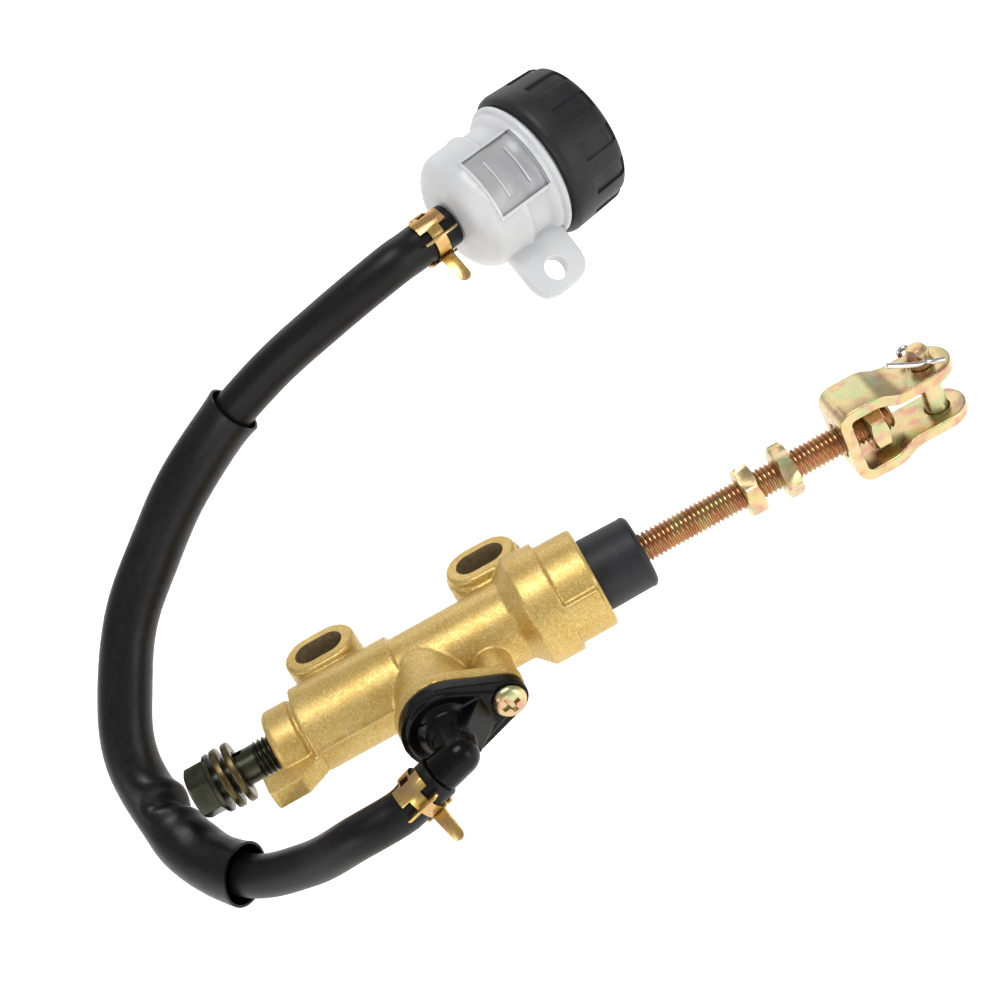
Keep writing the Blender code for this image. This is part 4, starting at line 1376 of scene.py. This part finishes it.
@dataclass
class Reservoir:
    """The milky cup with its spigot, window and ear, and the grooved screw cap."""

    shop: Shop
    cup: float = 16.1
    neck: float = 17.0
    cap: float = 20.0
    rim: float = 33.0
    grooves: int = 12
    columns: int = 12
    window_x: Pair = (6.3, 21.2)
    window_half: float = 8.3

    def cup_shell(self) -> None:
        """Models the cup, its ear, its window and its raised lines."""
        profile = [(-12.0, 3.0), (0.0, 3.0), (0.3, 3.6), (0.3, 10.2)]
        profile += [(0.9, 12.2), (1.8, 13.7), (3.0, 14.9), (4.2, 15.7), (5.6, 16.05), (11.4, self.cup)]
        profile += [(12.0, 16.45), (13.0, 16.5), (13.4, 16.3), (13.8, 15.9), (14.6, 15.35), (18.8, 15.3)]
        profile += [(19.9, 15.7), (20.9, 17.0), (21.5, 17.25), (22.2, 17.3), (22.5, 17.7), (22.7, 18.3)]
        profile += [(22.9, 18.45), (23.7, 18.45), (23.9, 18.2), (23.9, 17.3), (self.rim, 17.0)]
        profile += [(self.rim, 15.4), (22.2, 15.4), (19.6, 14.1), (5.6, 14.4)]
        profile += [(2.8, 12.8), (1.9, 10.6), (1.9, 1.7), (-12.0, 1.7), (-12.0, 3.0)]
        cup = turned("cup", profile)
        ear = [(6.1, 15.0), (6.2, 25.2), (6.8, 27.4), (8.2, 29.4), (10.2, 30.4), (12.4, 30.6)]
        ear += [(16.0, 30.6), (18.4, 30.2), (20.4, 29.0), (21.7, 27.2), (22.2, 25.0), (22.2, 15.0)]
        tab = prism("ear", ear, -2.0, 2.0)
        bevel(tab, 0.5, 3, 50)
        combine(cup, tab, Mix.JOIN)
        hole = place((14.0, 24.7, 0.0), (0, 0, 1), (1, 0, 0))
        combine(cup, turned("ear_hole", [(-5, 0), (-5, 3.1), (5, 3.1), (5, 0)], 48), Mix.CUT, hole)
        self.window(cup)
        shade(cup, 42)
        self.shop.settle(cup, "milky_cup", "body", "cup_plastic", [CUP_MILK, SHADED_WINDOW_MILK], ["reservoir_cup"], RESERVOIR)
        # Faces inside the window take the darker finish, which is painted shade.
        inverse = (Matrix.Scale(MM, 4) @ RESERVOIR).inverted()
        low, high = self.window_x
        marks = []
        for face in cup.data.polygons:
            spot = inverse @ face.center
            inside = low < spot.x < high and abs(spot.y) < self.window_half and spot.z < -10
            marks.append(1 if inside and hypot(spot.y, spot.z) < 15.75 else 0)
        cup.data.polygons.foreach_set("material_index", marks)

    def window(self, cup: Thing) -> None:
        """Sinks the window into the cup and raises its frame and two level lines.

        Args:
            cup: The cup, in its own place.
        """
        low, high = self.window_x
        half = self.window_half
        pane = block("pane", (low, -half, -20.0), (high, half, -8.0))
        combine(pane, rod("pane_core", low - 2, high + 2, 15.62), Mix.CUT)
        combine(cup, pane, Mix.CUT)
        border = block("border", (low - 0.7, -half - 0.7, -20.0), (high + 0.7, half + 0.7, -8.0))
        combine(border, block("border_hole", (low, -half, -21.0), (high, half, -7.0)), Mix.CUT)
        combine(border, washer("border_shell", low - 3, high + 3, 15.2, 16.42), Mix.COMMON)
        combine(cup, border, Mix.JOIN)
        for along, reach in ((10.6, 5.2), (17.3, 5.2)):
            line = block("level_line", (along - 0.2, -reach, -20.0), (along + 0.2, reach, -8.0))
            combine(line, washer("line_shell", low, high, 15.3, 15.85), Mix.COMMON)
            combine(cup, line, Mix.JOIN)

    def screw_cap(self) -> None:
        """Models the cap with its ring of long grip grooves."""
        under = 36.3
        skirt = self.neck + 0.3
        steps = self.grooves * self.columns
        shape = [(24.6, skirt), (24.6, 18.4), (25.0, 19.2), (25.8, 19.8), (26.8, self.cap), (30.6, 19.8)]
        shape += [(31.4, 19.75), (36.0, 19.5), (40.2, 19.25)]
        shape += [(along, radius) for radius, along in arc((16.2, 39.6), 3.0, 12, 90, 7)]
        shape += [(42.6, 0), (under, 0), (under, skirt), (24.6, skirt)]
        cap = turned("cap", shape, steps)
        low, high = 31.3, 42.2

        def in_groove(centre: Vector, normal: Vector) -> bool:
            """Says whether a face lies in one of the grip grooves.

            Args:
                centre: The face's centre.
                normal: Its normal.

            Returns:
                True for a face to sink.
            """
            column = (atan2(centre.z, centre.y) / tau * steps + self.columns * 0.5) % self.columns
            outside = hypot(centre.y, centre.z) > 18.2
            return outside and low < centre.x < high and column < self.columns * 0.5 and normal.x < 0.8

        pick_faces(cap, in_groove)
        with editing(cap, "FACE", False):
            bpy.ops.mesh.extrude_region_shrink_fatten(TRANSFORM_OT_shrink_fatten={"value": -0.55})
        bevel(cap, 0.16, 2, 30)
        shade(cap, 38)
        self.shop.settle(cap, "grooved_cap", "cap", "cap_plastic", [CAP_BLACK], ["reservoir_cap"], RESERVOIR)

    def build(self) -> None:
        """Builds the cup and cap and dresses what they hide."""
        self.cup_shell()
        self.screw_cap()
        self.shop.dress("diaphragm", BOOT_RUBBER)
        self.shop.dress("diaphragm_plate", WHITE_MOULD)


@dataclass
class Inside:
    """The working parts inside the bore: the coil spring, and parts whose CAD shapes stay."""

    shop: Shop
    wire: float = 0.6
    coil: float = 5.6
    turns: float = 5.5
    spring_low: float = -19.3
    spring_high: float = -1.7
    stroke: float = 10.0

    def spring(self) -> None:
        """Winds the return spring."""
        start, stop = self.spring_low + self.wire, self.spring_high - self.wire
        count = round(self.turns * 32)
        helix = []
        for step in range(count + 1):
            angle = tau * self.turns * step / count
            along = start + (stop - start) * step / count
            helix.append(Vector((along, self.coil * cos(angle), self.coil * sin(angle))))
        spring = tube("spring", helix, self.wire, 12, True)
        shade(spring, 50)
        self.shop.settle(spring, "coil_spring", "body", "bright_steel", [BRIGHT_STEEL], ["return_spring"])
        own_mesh(spring)

    def build(self) -> None:
        """Builds the spring and dresses the other parts in the bore."""
        self.spring()
        for node, finish in (
            ("piston", ALUMINIUM),
            ("primary_cup", HOSE_RUBBER),
            ("secondary_cup", HOSE_RUBBER),
            ("stop_washer", BRIGHT_STEEL),
            ("circlip", BRIGHT_STEEL),
        ):
            self.shop.dress(node, finish)


@dataclass
class Studio:
    """The pale floor, the soft lights and the camera."""

    aim: Vector = field(default_factory=lambda: Vector((0.0350, 0.0152, 0.0234)))
    toward: Vector = field(default_factory=lambda: Vector((0.0, -0.8387, 0.5446)))
    roll: float = radians(28.9)
    distance: float = 0.5
    lens: float = 72.0
    floor_drop: float = 0.02
    floor_size: float = 12.0
    floor_glow: float = 0.62

    def axes(self) -> tuple[Vector, Vector, Vector]:
        """Finds the camera's own directions.

        Returns:
            Its right, its up and its back.
        """
        back = self.toward.normalized()
        level = Vector((1.0, 0.0, 0.0))
        rise = back.cross(level)
        right = level * cos(self.roll) - rise * sin(self.roll)
        up = level * sin(self.roll) + rise * cos(self.roll)
        return right, up, back

    def camera(self) -> None:
        """Adds the camera."""
        right, up, back = self.axes()
        data = bpy.data.cameras.new("camera")
        data.lens = self.lens
        data.sensor_width = 36.0
        data.clip_start = 0.01
        camera = bpy.data.objects.new("camera", data)
        bpy.context.scene.collection.objects.link(camera)
        turn = Matrix((right, up, back)).transposed().to_4x4()
        camera.matrix_world = Matrix.Translation(self.aim + back * self.distance) @ turn
        bpy.context.scene.camera = camera

    def lamp(self, name: str, across: float, rise: float, forward: float, size: Pair, power: float) -> None:
        """Adds one soft box that looks at the part, placed in the camera's own directions.

        Args:
            name: Its name.
            across: How far it is to the right, in metres.
            rise: How far it is up.
            forward: How far it is towards the camera.
            size: Its width and height.
            power: Its power in watts.
        """
        right, up, back = self.axes()
        data = bpy.data.lights.new(name, "AREA")
        data.shape = "RECTANGLE"
        data.size, data.size_y = size
        data.energy = power
        lamp = bpy.data.objects.new(name, data)
        bpy.context.scene.collection.objects.link(lamp)
        lamp.location = self.aim + right * across + up * rise + back * forward
        lamp.rotation_mode = "QUATERNION"
        lamp.rotation_quaternion = (lamp.location - self.aim).to_track_quat("Z", "Y")

    def floor(self) -> None:
        """Adds the floor below the part."""
        deselect()
        low = CAD_BOX[0]
        bpy.ops.mesh.primitive_plane_add(size=self.floor_size, location=(0, 0, low.z - self.floor_drop))
        floor = bpy.context.object
        bpy.ops.object.transform_apply(location=True)
        floor.name = "floor"
        material = bpy.data.materials.new("matt white paper")
        material.use_nodes = True
        shader = material.node_tree.nodes["Principled BSDF"]
        shader.inputs["Base Color"].default_value = linear("#F4F4F2")
        shader.inputs["Roughness"].default_value = 0.9
        shader.inputs["Emission Color"].default_value = linear("#FFFFFF")
        shader.inputs["Emission Strength"].default_value = self.floor_glow
        floor.data.materials.append(material)

    def sky(self) -> None:
        """Adds a room that is white at the horizon and dim overhead."""
        world = bpy.data.worlds.new("room")
        world.use_nodes = True
        bpy.context.scene.world = world
        tree = world.node_tree
        spot = add_node(tree, "ShaderNodeTexCoord").outputs["Generated"]
        height = add_node(tree, "ShaderNodeSeparateXYZ", None, {0: spot}).outputs["Z"]
        inputs = {0: height, 1: 0.02, 2: 0.40, 3: 0.9, 4: 0.42}
        share = add_node(tree, "ShaderNodeMapRange", None, inputs).outputs[0]
        background = tree.nodes["Background"]
        tree.links.new(share, background.inputs["Strength"])
        background.inputs["Color"].default_value = (1.0, 1.0, 1.0, 1.0)

    def build(self) -> None:
        """Sets up the studio."""
        self.camera()
        self.floor()
        self.sky()
        self.lamp("key", -0.25, 0.55, 0.65, (0.55, 0.35), 4.6)
        self.lamp("fill", 0.65, 0.05, 0.55, (0.35, 0.6), 1.9)
        self.lamp("low", -0.55, -0.45, 0.45, (0.5, 0.25), 1.2)
        self.lamp("back", -0.37, 0.66, -0.34, (0.9, 0.5), 1.7)
        bpy.context.scene.view_settings.view_transform = "Standard"


def main() -> None:
    """Builds every sub-assembly and the studio."""
    shop = Shop()
    for assembly in (Casting, Inlet, PushRod, Clevis, Banjo, HoseLine, Reservoir, Inside):
        assembly(shop).build()
        log.info("%s: done", assembly.__name__)
    Studio().build()


if __name__ == "__main__":
    main()
